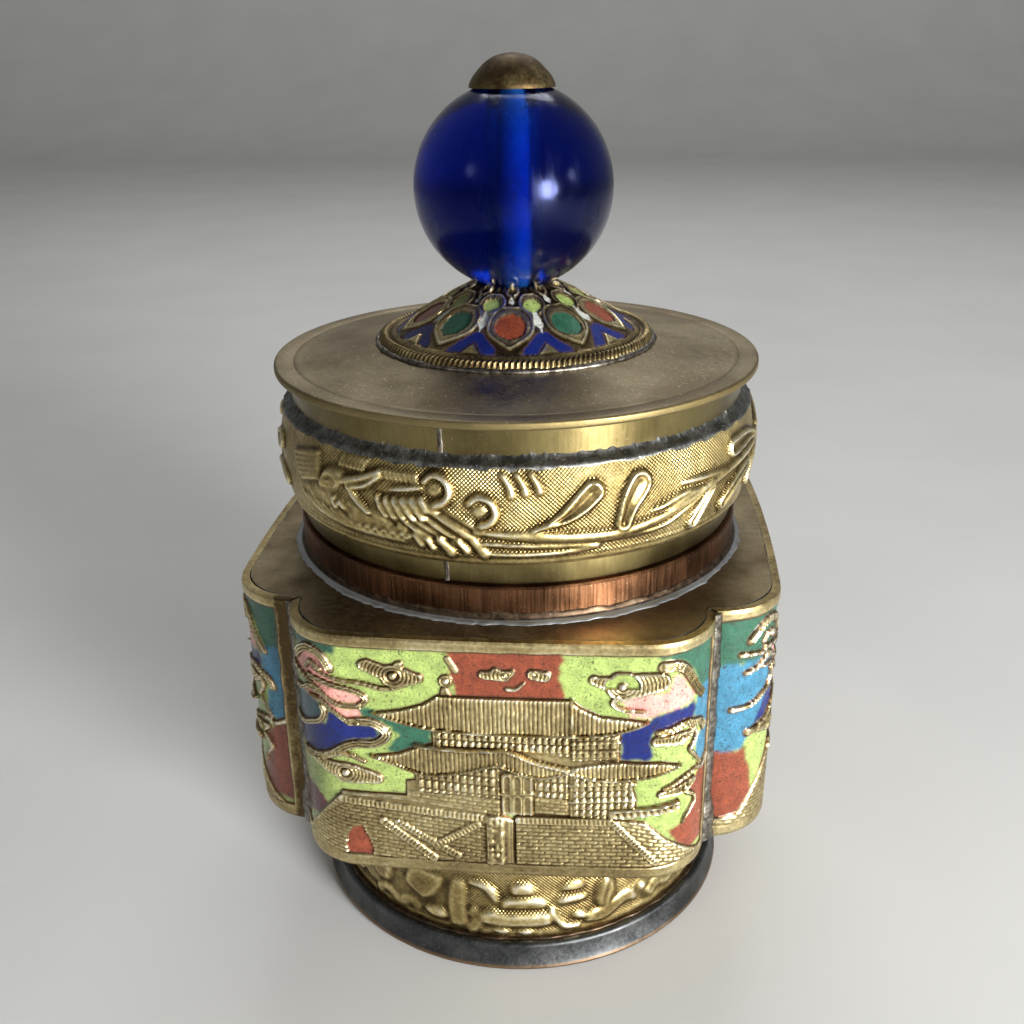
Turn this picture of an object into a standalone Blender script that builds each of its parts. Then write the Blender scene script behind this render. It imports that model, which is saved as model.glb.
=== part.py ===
"""Champleve enamel tea caddy: a four-lobed brass body on a round foot, and a round lid with a glass bead.

Metres, +Z up. The origin is the middle of the foot's underside, and the front panel faces -Y.
"""
import math

import bmesh
import bpy
from mathutils import Matrix, Vector

MM = 0.001
SEAM_GAP = 0.3 * MM

# Foot: a flared skirt with a ledge, and an embossed tube that stands on the ledge
FOOT_TO_NOTCH = 9.16 * MM
SKIRT_RIM_REACH = 2.4 * MM
SKIRT_SHOULDER_REACH = 1.6 * MM
SKIRT_HEIGHT = 4.1 * MM
SKIRT_WALL = 1.0 * MM
SKIRT_ROUND = 0.7 * MM
RIM_LAND = 0.5 * MM
FOOT_BAND_WALL = 1.0 * MM
FOOT_BAND_HEIGHT = 17.9 * MM

# Body: four cast panels with rounded ends that meet in four notches
BODY_REACH = 38.5 * MM
BODY_HEIGHT = 36.4 * MM
NOTCH_DEPTH = 10.1 * MM
CORNER_RADIUS = 9.4 * MM
FACE_ARC_RADIUS = 357.0 * MM
PANEL_WALL = 1.2 * MM
FIELD_RECESS = 0.3 * MM
BORDER_TOP = 1.75 * MM
BORDER_BOTTOM = 2.0 * MM
BORDER_SIDE = 1.2 * MM
BORDER_DRAFT = 0.15 * MM
BASE_PLATE_THICKNESS = 1.0 * MM
SHOULDER_THICKNESS = 1.2 * MM

# Neck: one copper ring, thick where the lid sits and thin where the lid slides over it
NECK_TO_NOTCH = 7.26 * MM
NECK_SEAT_WALL = 2.9 * MM
NECK_SEAT_HEIGHT = 4.5 * MM
NECK_HEIGHT = 15.5 * MM
LID_SLIDE_CLEARANCE = 0.4 * MM

# Lid: a plain tube, an embossed sleeve round it, a disc with a raised middle, and a dome
LID_MOUTH_INSET = 0.6 * MM
LID_FLARE = 0.6 * MM
LID_WALL = 0.9 * MM
LID_WALL_HEIGHT = 21.2 * MM
LID_BAND_START = 3.4 * MM
LID_BAND_HEIGHT = 13.4 * MM
LID_BAND_BULGE = 1.75 * MM
LID_BAND_WALL = 0.8 * MM
LID_DISC_OVERHANG = 2.1 * MM
LID_DISC_THICKNESS = 1.2 * MM
DISC_EDGE_ROUND = 0.35 * MM
DISC_LAND_WIDTH = 3.5 * MM
DISC_RISE = 1.7 * MM
DOME_RIM_RADIUS = 19.9 * MM
DOME_RIM_HEIGHT = 1.2 * MM
DOME_RIM_WIDTH = 1.7 * MM
DOME_TOP_RADIUS = 5.6 * MM
DOME_HEIGHT = 7.8 * MM
DOME_SWELL = 0.3 * MM
DOME_WALL = 1.0 * MM

# Finial: a round glass bead on a rod, held by a cap
BEAD_RADIUS = 13.9 * MM
ROD_RADIUS = 1.8 * MM
BEAD_BORE_RADIUS = 2.6 * MM
ROD_HEAD_RADIUS = 3.2 * MM
ROD_HEAD_THICKNESS = 0.8 * MM
CAP_RADIUS = 5.85 * MM
CAP_EDGE = 0.4 * MM
CAP_HEIGHT = 4.4 * MM
CAP_CROWN = 1.5 * MM

# Relief: how far its base is sunk in the wall, and the draft of its sides
RELIEF_SUNK = 0.45 * MM
RELIEF_DRAFT = 0.22 * MM
CLOUD_HEIGHT = 0.25 * MM

# The sizes of the surface that each picture was drawn on, in millimetres; a picture keeps its shares
PANEL_DRAWING_HALF = 33.5
PANEL_DRAWING_HEIGHT = 36.4
BAND_DRAWING_HEIGHT = 13.4
FOOT_DRAWING_HEIGHT = 17.9
DOME_DRAWING_RADIUS = 19.9

# Two rounds of petals: each one's inner tip, its two shoulders, its outer tip and its half width, as drawn
PETAL_COUNT = 10
PETAL_HEIGHT = 0.3 * MM
DOME_PETALS = ((10.6, 11.6, 14.4, 16.4, 1.9), (7.2, 8.4, 10.0, 11.2, 1.3))

ROUND_STEPS = 32
DOME_STEPS = 24
BEAD_STEPS = 24
BEAD_LEVELS = 10
CAP_STEPS = 16
CAP_LEVELS = 4
TEAR_STEPS = 4
ROD_STEPS = 12
RELIEF_KEPT = 0.52
SMOOTH_ANGLE = math.radians(32.0)

# Radii that follow from the notches: the foot, the neck and the lid keep their margins to them
NOTCH_REACH = BODY_REACH - NOTCH_DEPTH
END_RADIUS = min(CORNER_RADIUS, NOTCH_DEPTH)
FOOT_BAND_RADIUS = math.sqrt(2.0) * NOTCH_REACH - FOOT_TO_NOTCH
SKIRT_RIM_RADIUS = FOOT_BAND_RADIUS + SKIRT_RIM_REACH
SKIRT_SHOULDER_RADIUS = FOOT_BAND_RADIUS + SKIRT_SHOULDER_REACH
NECK_SEAT_RADIUS = math.sqrt(2.0) * NOTCH_REACH - NECK_TO_NOTCH
NECK_BORE_RADIUS = NECK_SEAT_RADIUS - NECK_SEAT_WALL
LID_MOUTH_RADIUS = NECK_SEAT_RADIUS - LID_MOUTH_INSET
LID_TOP_RADIUS = LID_MOUTH_RADIUS + LID_FLARE
LID_DISC_RADIUS = LID_TOP_RADIUS + LID_DISC_OVERHANG

# Heights that follow from the sizes above
FOOT_BAND_Z = SKIRT_HEIGHT + SEAM_GAP
BODY_Z = FOOT_BAND_Z + FOOT_BAND_HEIGHT
BODY_TOP_Z = BODY_Z + BODY_HEIGHT
NECK_Z = BODY_TOP_Z + SEAM_GAP
NECK_SEAT_Z = NECK_Z + NECK_SEAT_HEIGHT
LID_Z = NECK_SEAT_Z + SEAM_GAP
LID_BAND_Z = LID_Z + LID_BAND_START
LID_DISC_Z = LID_Z + LID_WALL_HEIGHT + SEAM_GAP
LID_DISC_TOP_Z = LID_DISC_Z + LID_DISC_THICKNESS
DOME_Z = LID_DISC_TOP_Z + DISC_RISE + SEAM_GAP
DOME_TOP_Z = DOME_Z + DOME_HEIGHT
BEAD_Z = DOME_TOP_Z + math.sqrt((BEAD_RADIUS + SEAM_GAP) ** 2 - DOME_TOP_RADIUS ** 2)


def clear_scene():
    for old in list(bpy.data.objects):
        bpy.data.objects.remove(old, do_unlink=True)


def srgb(code):
    """Linear colour of a hex code."""
    parts = [int(code[i:i + 2], 16) / 255.0 for i in (1, 3, 5)]
    return [c / 12.92 if c <= 0.04045 else ((c + 0.055) / 1.055) ** 2.4 for c in parts] + [1.0]


def material(name, code, roughness, metallic):
    made = bpy.data.materials.new(name)
    made.use_nodes = True
    shader = made.node_tree.nodes["Principled BSDF"]
    shader.inputs["Base Color"].default_value = srgb(code)
    shader.inputs["Roughness"].default_value = roughness
    shader.inputs["Metallic"].default_value = metallic
    return made


def put(name, bm, finish):
    """Links a finished mesh as an object of its own."""
    bmesh.ops.recalc_face_normals(bm, faces=bm.faces)
    mesh = bpy.data.meshes.new(name)
    bm.to_mesh(mesh)
    bm.free()
    mesh.materials.append(finish)
    mesh.shade_smooth()
    mesh.set_sharp_from_angle(angle=SMOOTH_ANGLE)
    made = bpy.data.objects.new(name, mesh)
    bpy.context.scene.collection.objects.link(made)
    return made


def turned_mesh(profile, steps=ROUND_STEPS):
    """A closed profile of (radius, height) points, turned round the Z axis."""
    bm = bmesh.new()
    points = [bm.verts.new((r, 0.0, z)) for r, z in profile]
    edges = [bm.edges.new((points[i - 1], points[i])) for i in range(len(points))
             if profile[i - 1][0] > 0.0 or profile[i][0] > 0.0]
    bmesh.ops.spin(bm, geom=points + edges, axis=(0, 0, 1), cent=(0, 0, 0),
                   angle=math.tau, steps=steps, use_merge=True)
    bmesh.ops.remove_doubles(bm, verts=bm.verts, dist=0.001 * MM)
    return bm


def arc(centre, radius, start, end, steps):
    """Points of an arc from start to end, in degrees."""
    angles = [math.radians(start + (end - start) * i / steps) for i in range(steps + 1)]
    return [(centre[0] + radius * math.cos(a), centre[1] + radius * math.sin(a)) for a in angles]


def ease(t):
    """Smooth step from 0 to 1."""
    t = min(max(t, 0.0), 1.0)
    return t * t * (3.0 - 2.0 * t)


# Plan outline of the body

def face_half_angle():
    """Angle from a panel's middle to the end of its face arc."""
    half = (NOTCH_REACH - END_RADIUS) / (1.0 - END_RADIUS / FACE_ARC_RADIUS)
    return math.asin(half / FACE_ARC_RADIUS)


def half_lengths():
    """Lengths along half a panel: its face arc, its round end and the straight run into the notch."""
    turn = face_half_angle()
    face = FACE_ARC_RADIUS * turn
    end = END_RADIUS * (math.pi / 2 - turn)
    face_drop = FACE_ARC_RADIUS * (1.0 - math.cos(turn))
    straight = BODY_REACH - face_drop - END_RADIUS * math.cos(turn) - NOTCH_REACH
    return face, end, straight


def panel_point(along, out):
    """Plan point of the front panel, at a length along its outside from the middle, and its normal."""
    turn = face_half_angle()
    face, end, straight = half_lengths()
    side = -1.0 if along < 0.0 else 1.0
    along = abs(along)
    if along <= face:
        angle = along / FACE_ARC_RADIUS
        centre = Vector((0.0, FACE_ARC_RADIUS - BODY_REACH))
        normal = Vector((math.sin(angle), -math.cos(angle)))
        point = centre + normal * (FACE_ARC_RADIUS + out)
    else:
        edge = Vector((math.sin(turn), -math.cos(turn)))
        centre = Vector((0.0, FACE_ARC_RADIUS - BODY_REACH)) + edge * (FACE_ARC_RADIUS - END_RADIUS)
        angle = min(turn + (along - face) / END_RADIUS, math.pi / 2)
        normal = Vector((math.sin(angle), -math.cos(angle)))
        point = centre + normal * (END_RADIUS + out)
        point.y += max(0.0, along - face - end)
    return Vector((point.x * side, point.y)), Vector((normal.x * side, normal.y))


def panel_end(side, out):
    """Plan point at a panel's mitred end, where it meets its neighbour in the notch."""
    reach = NOTCH_REACH + out
    return Vector((side * reach, -reach - SEAM_GAP / math.sqrt(2.0)))


def panel_stations():
    """Lengths along a panel at which its wall has an edge."""
    face, end, straight = half_lengths()
    total = face + end + straight
    half = [0.0, face]
    half += [face + end * k / 4 for k in range(1, 4)]
    half += [total - BORDER_SIDE - BORDER_DRAFT, total - BORDER_SIDE]
    half = sorted(half)
    return [-a for a in reversed(half[1:])] + half


def cross_outline(inset):
    """The whole body's outline, offset inwards, once round."""
    face, end, straight = half_lengths()
    half = [0.0, face] + [face + end * k / 4 for k in range(1, 5)]
    along = [-a for a in reversed(half[1:])] + half
    quarter = [panel_end(-1.0, -inset)]
    quarter[0].y += SEAM_GAP / math.sqrt(2.0)
    quarter += [panel_point(a, -inset)[0] for a in along]
    outline = []
    for k in range(4):
        turn = Matrix.Rotation(k * math.pi / 2, 2)
        outline += [turn @ p for p in quarter]
    return outline


# Relief forms, each a closed body that is joined to the wall it stands on

def strip(bm, place, lower, upper, low_height, high_height=None, draft=RELIEF_DRAFT):
    """A raised strip between two lines of (across, up) points, in metres; its top follows the surface."""
    high_height = low_height if high_height is None else high_height
    rings = []
    for low, high in zip(lower, upper):
        low, high = Vector(low), Vector(high)
        over = high - low
        inset = over.normalized() * min(draft, over.length * 0.4)
        corners = ((low, -RELIEF_SUNK), (low + inset, low_height), (high - inset, high_height),
                   (high, -RELIEF_SUNK))
        rings.append([bm.verts.new(place(*point, level)) for point, level in corners])
    for a, b in zip(rings, rings[1:]):
        for i in range(4):
            bm.faces.new((a[i - 1], a[i], b[i], b[i - 1]))
    bm.faces.new(rings[0])
    bm.faces.new(rings[-1])


def prism(bm, place, outline, height):
    """A raised flat shape with an outline of (across, up) points."""
    low = [bm.verts.new(place(*p, -RELIEF_SUNK)) for p in outline]
    high = [bm.verts.new(place(*p, height)) for p in outline]
    bm.faces.new(low)
    bm.faces.new(high)
    for i in range(len(outline)):
        bm.faces.new((low[i - 1], low[i], high[i], high[i - 1]))


def ridge(bm, place, path, widths, height):
    """A raised line along a path, with its width at each point and a crest along its middle."""
    path = [Vector(p) for p in path]
    rings = []
    for i, point in enumerate(path):
        run = (path[min(i + 1, len(path) - 1)] - path[max(i - 1, 0)]).normalized()
        side = Vector((-run.y, run.x)) * widths[i] / 2
        corners = ((point - side, -RELIEF_SUNK), (point, height), (point + side, -RELIEF_SUNK))
        rings.append([bm.verts.new(place(*corner, level)) for corner, level in corners])
    for a, b in zip(rings, rings[1:]):
        for i in range(3):
            bm.faces.new((a[i - 1], a[i], b[i], b[i - 1]))
    bm.faces.new(rings[0])
    bm.faces.new(rings[-1])


def knob(bm, place, across, up, radius, height, sides=5):
    """A small round pearl."""
    rings = []
    for share, level in ((1.0, -RELIEF_SUNK), (0.75, height * 0.7)):
        rings.append([bm.verts.new(place(across + radius * share * math.cos(math.tau * k / sides),
                                         up + radius * share * math.sin(math.tau * k / sides), level))
                      for k in range(sides)])
    top = bm.verts.new(place(across, up, height))
    bm.faces.new(rings[0])
    for k in range(sides):
        bm.faces.new((rings[0][k - 1], rings[0][k], rings[1][k], rings[1][k - 1]))
        bm.faces.new((rings[1][k - 1], rings[1][k], top))


def level_line(start, end, height, steps):
    """Points of a level line."""
    return [(start + (end - start) * i / steps, height) for i in range(steps + 1)]


def block(bm, place, left, right, low, high, height, steps=2):
    """A raised rectangle."""
    strip(bm, place, level_line(left, right, low, steps), level_line(left, right, high, steps), height)


def roof(bm, place, left, right, ridge_left, ridge_right, eave, crest, upturn, height, steps=6):
    """A hipped roof with hollow sides and eaves that turn up at their ends."""
    middle = (left + right) / 2
    half = (right - left) / 2
    lower, upper = [], []
    for i in range(steps + 1):
        across = left + (right - left) * i / steps
        share = abs((across - middle) / half)
        tip = eave + upturn * share ** 3
        lower.append((across, tip))
        if across < ridge_left:
            rise = max(across - left, 0.0) / (ridge_left - left)
        elif across > ridge_right:
            rise = max(right - across, 0.0) / (right - ridge_right)
        else:
            rise = 1.0
        thin = 0.5 * MM
        upper.append((across, tip + thin + (crest - tip - thin) * rise ** 1.6))
    strip(bm, place, lower, upper, height, height * 0.45)


def tear(bm, place, head, tip, radius, height):
    """A raised drop: a round head and a pointed end."""
    head, tip = Vector(head), Vector(tip)
    run = (tip - head).normalized()
    turn = math.atan2(run.y, run.x)
    outline = [tip]
    for k in range(TEAR_STEPS + 1):
        angle = turn + math.radians(70.0 + 220.0 * k / TEAR_STEPS)
        outline.append(head + radius * Vector((math.cos(angle), math.sin(angle))))
    prism(bm, place, outline, height)


def cloud(bm, place, across, up, size, tail):
    """A comma-shaped cloud with a pearl in its head."""
    head = Vector((across, up))
    tear(bm, place, head, head + Vector(tail), size, CLOUD_HEIGHT)
    knob(bm, place, across, up, 0.45 * size, CLOUD_HEIGHT + 0.35 * MM)


def palace_picture(bm, place, unit):
    """A two-storey palace on a brick terrace among clouds; unit is the size of one drawn millimetre."""
    def u(*values):
        return [v * unit for v in values]

    # Terrace with its stairs and rails
    strip(bm, place, [u(-29.0, 2.6), u(-19.0, 2.2), u(0.0, 2.2), u(18.0, 2.2), u(26.5, 3.6)],
          [u(-27.0, 5.5), u(-20.0, 11.0), u(0.0, 9.6), u(17.5, 9.6), u(24.5, 5.2)], 0.05 * MM)
    ridge(bm, place, [u(-21.5, 11.4), u(-11.0, 10.1), u(-1.2, 8.9)], u(1.8, 1.8, 1.8), 0.45 * MM)
    ridge(bm, place, [u(-15.5, 8.0), u(-9.0, 2.6)], u(1.6, 1.6), 0.42 * MM)
    ridge(bm, place, [u(-12.6, 7.6), u(-5.6, 3.0)], u(1.6, 1.6), 0.46 * MM)
    block(bm, place, *u(-1.4, 2.4, 2.4, 10.2), 0.5 * MM, 1)
    block(bm, place, *u(3.0, 15.2, 8.3, 10.0), 0.4 * MM)
    ridge(bm, place, [u(15.0, 9.2), u(21.0, 2.8)], u(1.7, 1.7), 0.5 * MM)
    ridge(bm, place, [u(15.4, 10.6), u(24.4, 11.7)], u(1.9, 1.9), 0.5 * MM)
    # Lower storey
    block(bm, place, *u(-12.2, 18.0, 10.6, 16.8), 0.15 * MM, 2)
    block(bm, place, *u(0.6, 4.9, 10.4, 16.9), 0.5 * MM, 1)
    roof(bm, place, *u(-16.8, 25.0, -9.5, 17.5, 15.9, 20.4, 2.4), 0.6 * MM, 7)
    roof(bm, place, *u(-4.0, 9.5, 0.6, 2.2, 17.2, 20.6, 0.5), 0.72 * MM, 4)
    # Upper storey
    block(bm, place, *u(-8.4, 16.2, 19.6, 23.2), 0.2 * MM, 2)
    roof(bm, place, *u(-15.8, 20.6, -7.5, 10.2, 22.9, 28.3, 2.4), 0.66 * MM, 7)
    # Clouds: where each pearl stands, its size, and where its tail ends from there
    for across, up, size, reach, fall in (
            (-13.2, 31.0, 1.9, -6.2, 1.0), (1.8, 31.7, 1.3, 4.6, 0.0), (16.4, 30.4, 1.8, 5.6, 0.9),
            (24.6, 21.6, 1.6, -4.2, 0.8), (25.6, 14.0, 1.5, -4.0, -0.2), (-20.6, 15.4, 1.9, 5.0, -0.9),
            (-23.5, 30.8, 2.2, 6.6, -5.2)):
        cloud(bm, place, *u(across, up, size), u(reach, fall))
    hook = [u(-28.5, 21.6), u(-24.5, 24.2), u(-19.5, 23.8), u(-13.6, 21.6), u(-19.0, 19.0), u(-25.5, 17.8)]
    ridge(bm, place, hook, u(1.4, 1.8, 1.8, 2.2, 1.8, 1.4), 0.42 * MM)
    ridge(bm, place, [u(20.4, 33.4), u(24.4, 32.4), u(27.2, 28.2)], u(1.8, 2.2, 1.2), 0.42 * MM)


def phoenix_picture(bm, place, unit, degree):
    """A flying phoenix with a long tail of eyed feathers; degree is one drawn degree of the band."""
    def at(angle, up):
        return Vector((angle * degree, up * unit))

    tear(bm, place, at(-45.5, 8.8), at(-37.5, 9.9), 1.6 * unit, 0.7 * MM)
    for k in range(2):
        tear(bm, place, at(-50.5 - 2.0 * k, 10.6 - 2.0 * k), at(-46.5, 9.4 - 0.8 * k), 0.7 * unit, 0.5 * MM)
    body = [at(-43.5, 7.0), at(-35.0, 5.4), at(-25.0, 4.3), at(-11.0, 3.2)]
    half = [Vector((0.0, v * unit)) for v in (0.9, 1.8, 1.6, 0.5)]
    strip(bm, place, [p - h for p, h in zip(body, half)], [p + h for p, h in zip(body, half)], 0.35 * MM)
    for k in range(4):
        root = -36.5 + 5.6 * k
        head, tip = at(root + 13.0, 4.9 - 0.25 * k), at(root - 1.0, 8.7 - 0.4 * k)
        tear(bm, place, head, tip, 0.85 * unit, (0.6 + 0.03 * k) * MM)
    tear(bm, place, at(-27.0, 9.4), at(-18.5, 10.3), 0.8 * unit, 0.5 * MM)
    for angle, up in ((-15.0, 9.6), (-7.5, 7.4)):
        knob(bm, place, *at(angle, up), 1.6 * unit, 0.7 * MM)
    angles = (-12.0, 0.0, 12.0, 24.0, 36.0, 48.0, 60.0, 72.0)
    stem = [at(a, stem_height(a)) for a in angles]
    half = [Vector((0.0, v * unit)) for v in (0.5, 0.85, 0.95, 0.95, 0.85, 0.75, 0.6, 0.3)]
    strip(bm, place, [p - h for p, h in zip(stem, half)], [p + h for p, h in zip(stem, half)], 0.45 * MM)
    # Eyed feathers: the angle of each one's root on the stem, and its head
    for root, angle, up in ((1.0, 15.0, 9.4), (13.0, 25.5, 10.4), (40.0, 42.5, 2.6),
                            (49.0, 53.0, 3.0), (38.0, 52.0, 10.6)):
        tear(bm, place, at(angle, up), at(root, stem_height(root)), 1.25 * unit, 0.55 * MM)


def stem_height(angle):
    """Drawn height of the phoenix's tail stem above the band's foot."""
    return 3.2 + 4.9 * ease((angle - 8.0) / 50.0)


def treasures_picture(bm, place, unit, degree):
    """A lidded jar on its stand, a bundle of scrolls, a vase, a pearl and a fan, tied with ribbons."""
    def at(angle, up):
        return Vector((angle * degree, up * unit))

    block(bm, place, -6.0 * degree, 6.0 * degree, 5.6 * unit, 7.7 * unit, 0.5 * MM)
    knob(bm, place, *at(0.0, 9.3), 2.0 * unit, 0.8 * MM)
    tear(bm, place, at(-1.0, 3.4), at(-11.0, 2.8), 1.3 * unit, 0.5 * MM)
    for k in range(3):
        head, tip = at(13.0 + 3.4 * k, 8.8 - 0.5 * k), at(9.0 + 3.4 * k, 4.2 - 0.3 * k)
        tear(bm, place, head, tip, 0.9 * unit, 0.55 * MM)
    tear(bm, place, at(25.0, 6.4), at(20.0, 2.4), 1.6 * unit, 0.6 * MM)
    knob(bm, place, *at(35.0, 4.8), 1.9 * unit, 0.7 * MM)
    tear(bm, place, at(-31.5, 7.6), at(-25.0, 3.8), 2.2 * unit, 0.5 * MM)
    tear(bm, place, at(-17.0, 8.2), at(-21.0, 3.4), 1.1 * unit, 0.45 * MM)
    tear(bm, place, at(45.0, 6.8), at(53.0, 8.6), 1.4 * unit, 0.45 * MM)
    tear(bm, place, at(-52.0, 6.4), at(-43.0, 9.0), 1.6 * unit, 0.5 * MM)


def joined(name, wall, relief, finish):
    """A wall and the relief on it, made one body."""
    bmesh.ops.recalc_face_normals(relief, faces=relief.faces)
    bmesh.ops.triangulate(relief, faces=relief.faces)
    bmesh.ops.recalc_face_normals(wall, faces=wall.faces)
    base = put(name, wall, finish)
    raised = put(name + "_relief", relief, finish)
    union = base.modifiers.new("Relief", "BOOLEAN")
    union.operation = "UNION"
    union.solver = "EXACT"
    union.use_self = True
    union.object = raised
    thinned = base.modifiers.new("Thinned", "DECIMATE")
    thinned.ratio = RELIEF_KEPT
    shape = base.evaluated_get(bpy.context.evaluated_depsgraph_get())
    mesh = bpy.data.meshes.new_from_object(shape)
    base.modifiers.clear()
    bpy.data.objects.remove(raised, do_unlink=True)
    bm = bmesh.new()
    bm.from_mesh(mesh)
    bmesh.ops.triangulate(bm, faces=bm.faces)
    bm.to_mesh(base.data)
    bm.free()
    base.data.set_sharp_from_angle(angle=SMOOTH_ANGLE)
    return base


def panel_wall():
    """A panel's wall: a recessed field inside a plain border, bent to the body's outline."""
    bm = bmesh.new()
    face, end, straight = half_lengths()
    total = face + end + straight
    stations = panel_stations()
    bottom, top = BODY_Z, BODY_TOP_Z
    levels = [bottom, bottom + BORDER_BOTTOM, bottom + BORDER_BOTTOM + BORDER_DRAFT,
              top - BORDER_TOP - BORDER_DRAFT, top - BORDER_TOP, top]
    outer = []
    for z_index, z in enumerate(levels):
        row = [bm.verts.new((*panel_end(-1.0, 0.0), z))]
        for along in stations:
            in_field = abs(along) < total - BORDER_SIDE - BORDER_DRAFT / 2 and z_index in (2, 3)
            point = panel_point(along, -FIELD_RECESS if in_field else 0.0)[0]
            row.append(bm.verts.new((*point, z)))
        row.append(bm.verts.new((*panel_end(1.0, 0.0), z)))
        outer.append(row)
    inner = []
    for z in (bottom, top):
        row = [bm.verts.new((*panel_end(-1.0, -PANEL_WALL), z))]
        row += [bm.verts.new((*panel_point(along, -PANEL_WALL)[0], z)) for along in stations[2:-2]]
        row.append(bm.verts.new((*panel_end(1.0, -PANEL_WALL), z)))
        inner.append(row)
    for low, high in zip(outer, outer[1:]):
        for i in range(len(low) - 1):
            bm.faces.new((low[i], low[i + 1], high[i + 1], high[i]))
    for i in range(len(inner[0]) - 1):
        bm.faces.new((inner[0][i + 1], inner[0][i], inner[1][i], inner[1][i + 1]))
    for row, back in ((outer[0], inner[0]), (outer[-1], inner[1])):
        bm.faces.new((row[0], row[1], row[2], row[3], back[1], back[0]))
        bm.faces.new((row[-1], row[-2], row[-3], row[-4], back[-2], back[-1]))
        for i in range(1, len(back) - 2):
            bm.faces.new((row[i + 2], row[i + 3], back[i + 1], back[i]))
    for i, rows in ((0, outer), (-1, outer)):
        bm.faces.new([row[i] for row in rows] + [inner[1][i], inner[0][i]])
    return bm


def build_panels(finish):
    face, end, straight = half_lengths()
    across_unit = (face + end + straight) / PANEL_DRAWING_HALF
    up_unit = BODY_HEIGHT / PANEL_DRAWING_HEIGHT

    def place(across, up, out):
        point = panel_point(across / up_unit * across_unit, out)[0]
        return (point.x, point.y, BODY_Z + up)

    relief = bmesh.new()
    palace_picture(relief, place, up_unit)
    front = joined("panel_front", panel_wall(), relief, finish)
    for k, name in enumerate(("panel_right", "panel_back", "panel_left"), start=1):
        copy = bpy.data.objects.new(name, front.data)
        copy.rotation_euler = (0.0, 0.0, k * math.pi / 2)
        bpy.context.scene.collection.objects.link(copy)


def plate_mesh(outline, bottom, thickness):
    """A flat plate of a plan outline."""
    bm = bmesh.new()
    low = bm.faces.new([bm.verts.new((p.x, p.y, bottom)) for p in outline])
    grown = bmesh.ops.extrude_face_region(bm, geom=[low])
    raised = [v for v in grown["geom"] if isinstance(v, bmesh.types.BMVert)]
    bmesh.ops.translate(bm, verts=raised, vec=(0.0, 0.0, thickness))
    return bm


def build_base_plate(finish):
    outline = cross_outline(PANEL_WALL + SEAM_GAP)
    put("base_plate", plate_mesh(outline, BODY_Z + SEAM_GAP, BASE_PLATE_THICKNESS), finish)


def build_shoulder_plate(finish):
    """The cross-shaped plate round the neck; a ring of faces joins its outline and its round hole."""
    bm = bmesh.new()
    outline = cross_outline(PANEL_WALL + SEAM_GAP)
    low_z, high_z = BODY_TOP_Z - SHOULDER_THICKNESS, BODY_TOP_Z
    rings = []
    for z in (low_z, high_z):
        rings.append([bm.verts.new((p.x, p.y, z)) for p in outline])
    for z in (high_z, low_z):
        hole = [p.normalized() * NECK_BORE_RADIUS for p in outline]
        rings.append([bm.verts.new((p.x, p.y, z)) for p in hole])
    for a, b in zip(rings, rings[1:] + rings[:1]):
        for i in range(len(outline)):
            bm.faces.new((a[i - 1], a[i], b[i], b[i - 1]))
    put("shoulder_plate", bm, finish)


def build_foot(skirt_finish, band_finish):
    inner = FOOT_BAND_RADIUS - FOOT_BAND_WALL
    shoulder_z = SKIRT_HEIGHT - SKIRT_ROUND
    outside = [(SKIRT_RIM_RADIUS - RIM_LAND, 0.0), (SKIRT_RIM_RADIUS, RIM_LAND / 2)]
    shoulder = arc((SKIRT_SHOULDER_RADIUS - SKIRT_ROUND, shoulder_z), SKIRT_ROUND, 0, 90, 1)
    inside = [(inner, SKIRT_HEIGHT), (inner, SKIRT_HEIGHT - SKIRT_WALL),
              (SKIRT_SHOULDER_RADIUS - SKIRT_WALL - SKIRT_ROUND, SKIRT_HEIGHT - SKIRT_WALL),
              (SKIRT_RIM_RADIUS - SKIRT_WALL - RIM_LAND, 0.0)]
    put("foot_skirt", turned_mesh(outside + shoulder + inside), skirt_finish)

    top = FOOT_BAND_Z + FOOT_BAND_HEIGHT - SEAM_GAP
    tube = [(FOOT_BAND_RADIUS, FOOT_BAND_Z), (FOOT_BAND_RADIUS, top), (inner, top), (inner, FOOT_BAND_Z)]
    wall = turned_mesh(tube)
    unit = FOOT_BAND_HEIGHT / FOOT_DRAWING_HEIGHT
    degree = math.radians(1.0) * FOOT_BAND_RADIUS
    relief = bmesh.new()
    for turn in (0.0, 120.0, 240.0):
        def place(across, up, out):
            angle = across / FOOT_BAND_RADIUS + math.radians(turn)
            reach = FOOT_BAND_RADIUS + out
            return (reach * math.sin(angle), -reach * math.cos(angle), FOOT_BAND_Z + up)
        treasures_picture(relief, place, unit, degree)
    joined("foot_band", wall, relief, band_finish)


def build_neck(finish):
    slide = lid_bore_radius(0.0) - LID_SLIDE_CLEARANCE
    bore, seat, top = NECK_BORE_RADIUS, NECK_SEAT_Z, NECK_Z + NECK_HEIGHT
    lead = (slide - bore) / 3
    profile = [(bore, NECK_Z), (NECK_SEAT_RADIUS, NECK_Z), (NECK_SEAT_RADIUS, seat), (slide, seat),
               (slide, top - lead), (slide - lead, top), (bore, top)]
    put("neck_ring", turned_mesh(profile), finish)


def lid_radius(height):
    """Outer radius of the lid's plain tube at a height above its mouth."""
    return LID_MOUTH_RADIUS + (LID_TOP_RADIUS - LID_MOUTH_RADIUS) * height / LID_WALL_HEIGHT


def lid_bore_radius(height):
    return lid_radius(height) - LID_WALL


def lid_band_radius(share):
    """Outer radius of the embossed sleeve at a share of its height."""
    plain = lid_radius(LID_BAND_START + share * LID_BAND_HEIGHT)
    swell = math.sin(math.pi * min(share * 0.86 + 0.07, 1.0)) ** 0.6
    return plain + SEAM_GAP + LID_BAND_WALL * 0.25 + LID_BAND_BULGE * swell


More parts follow.
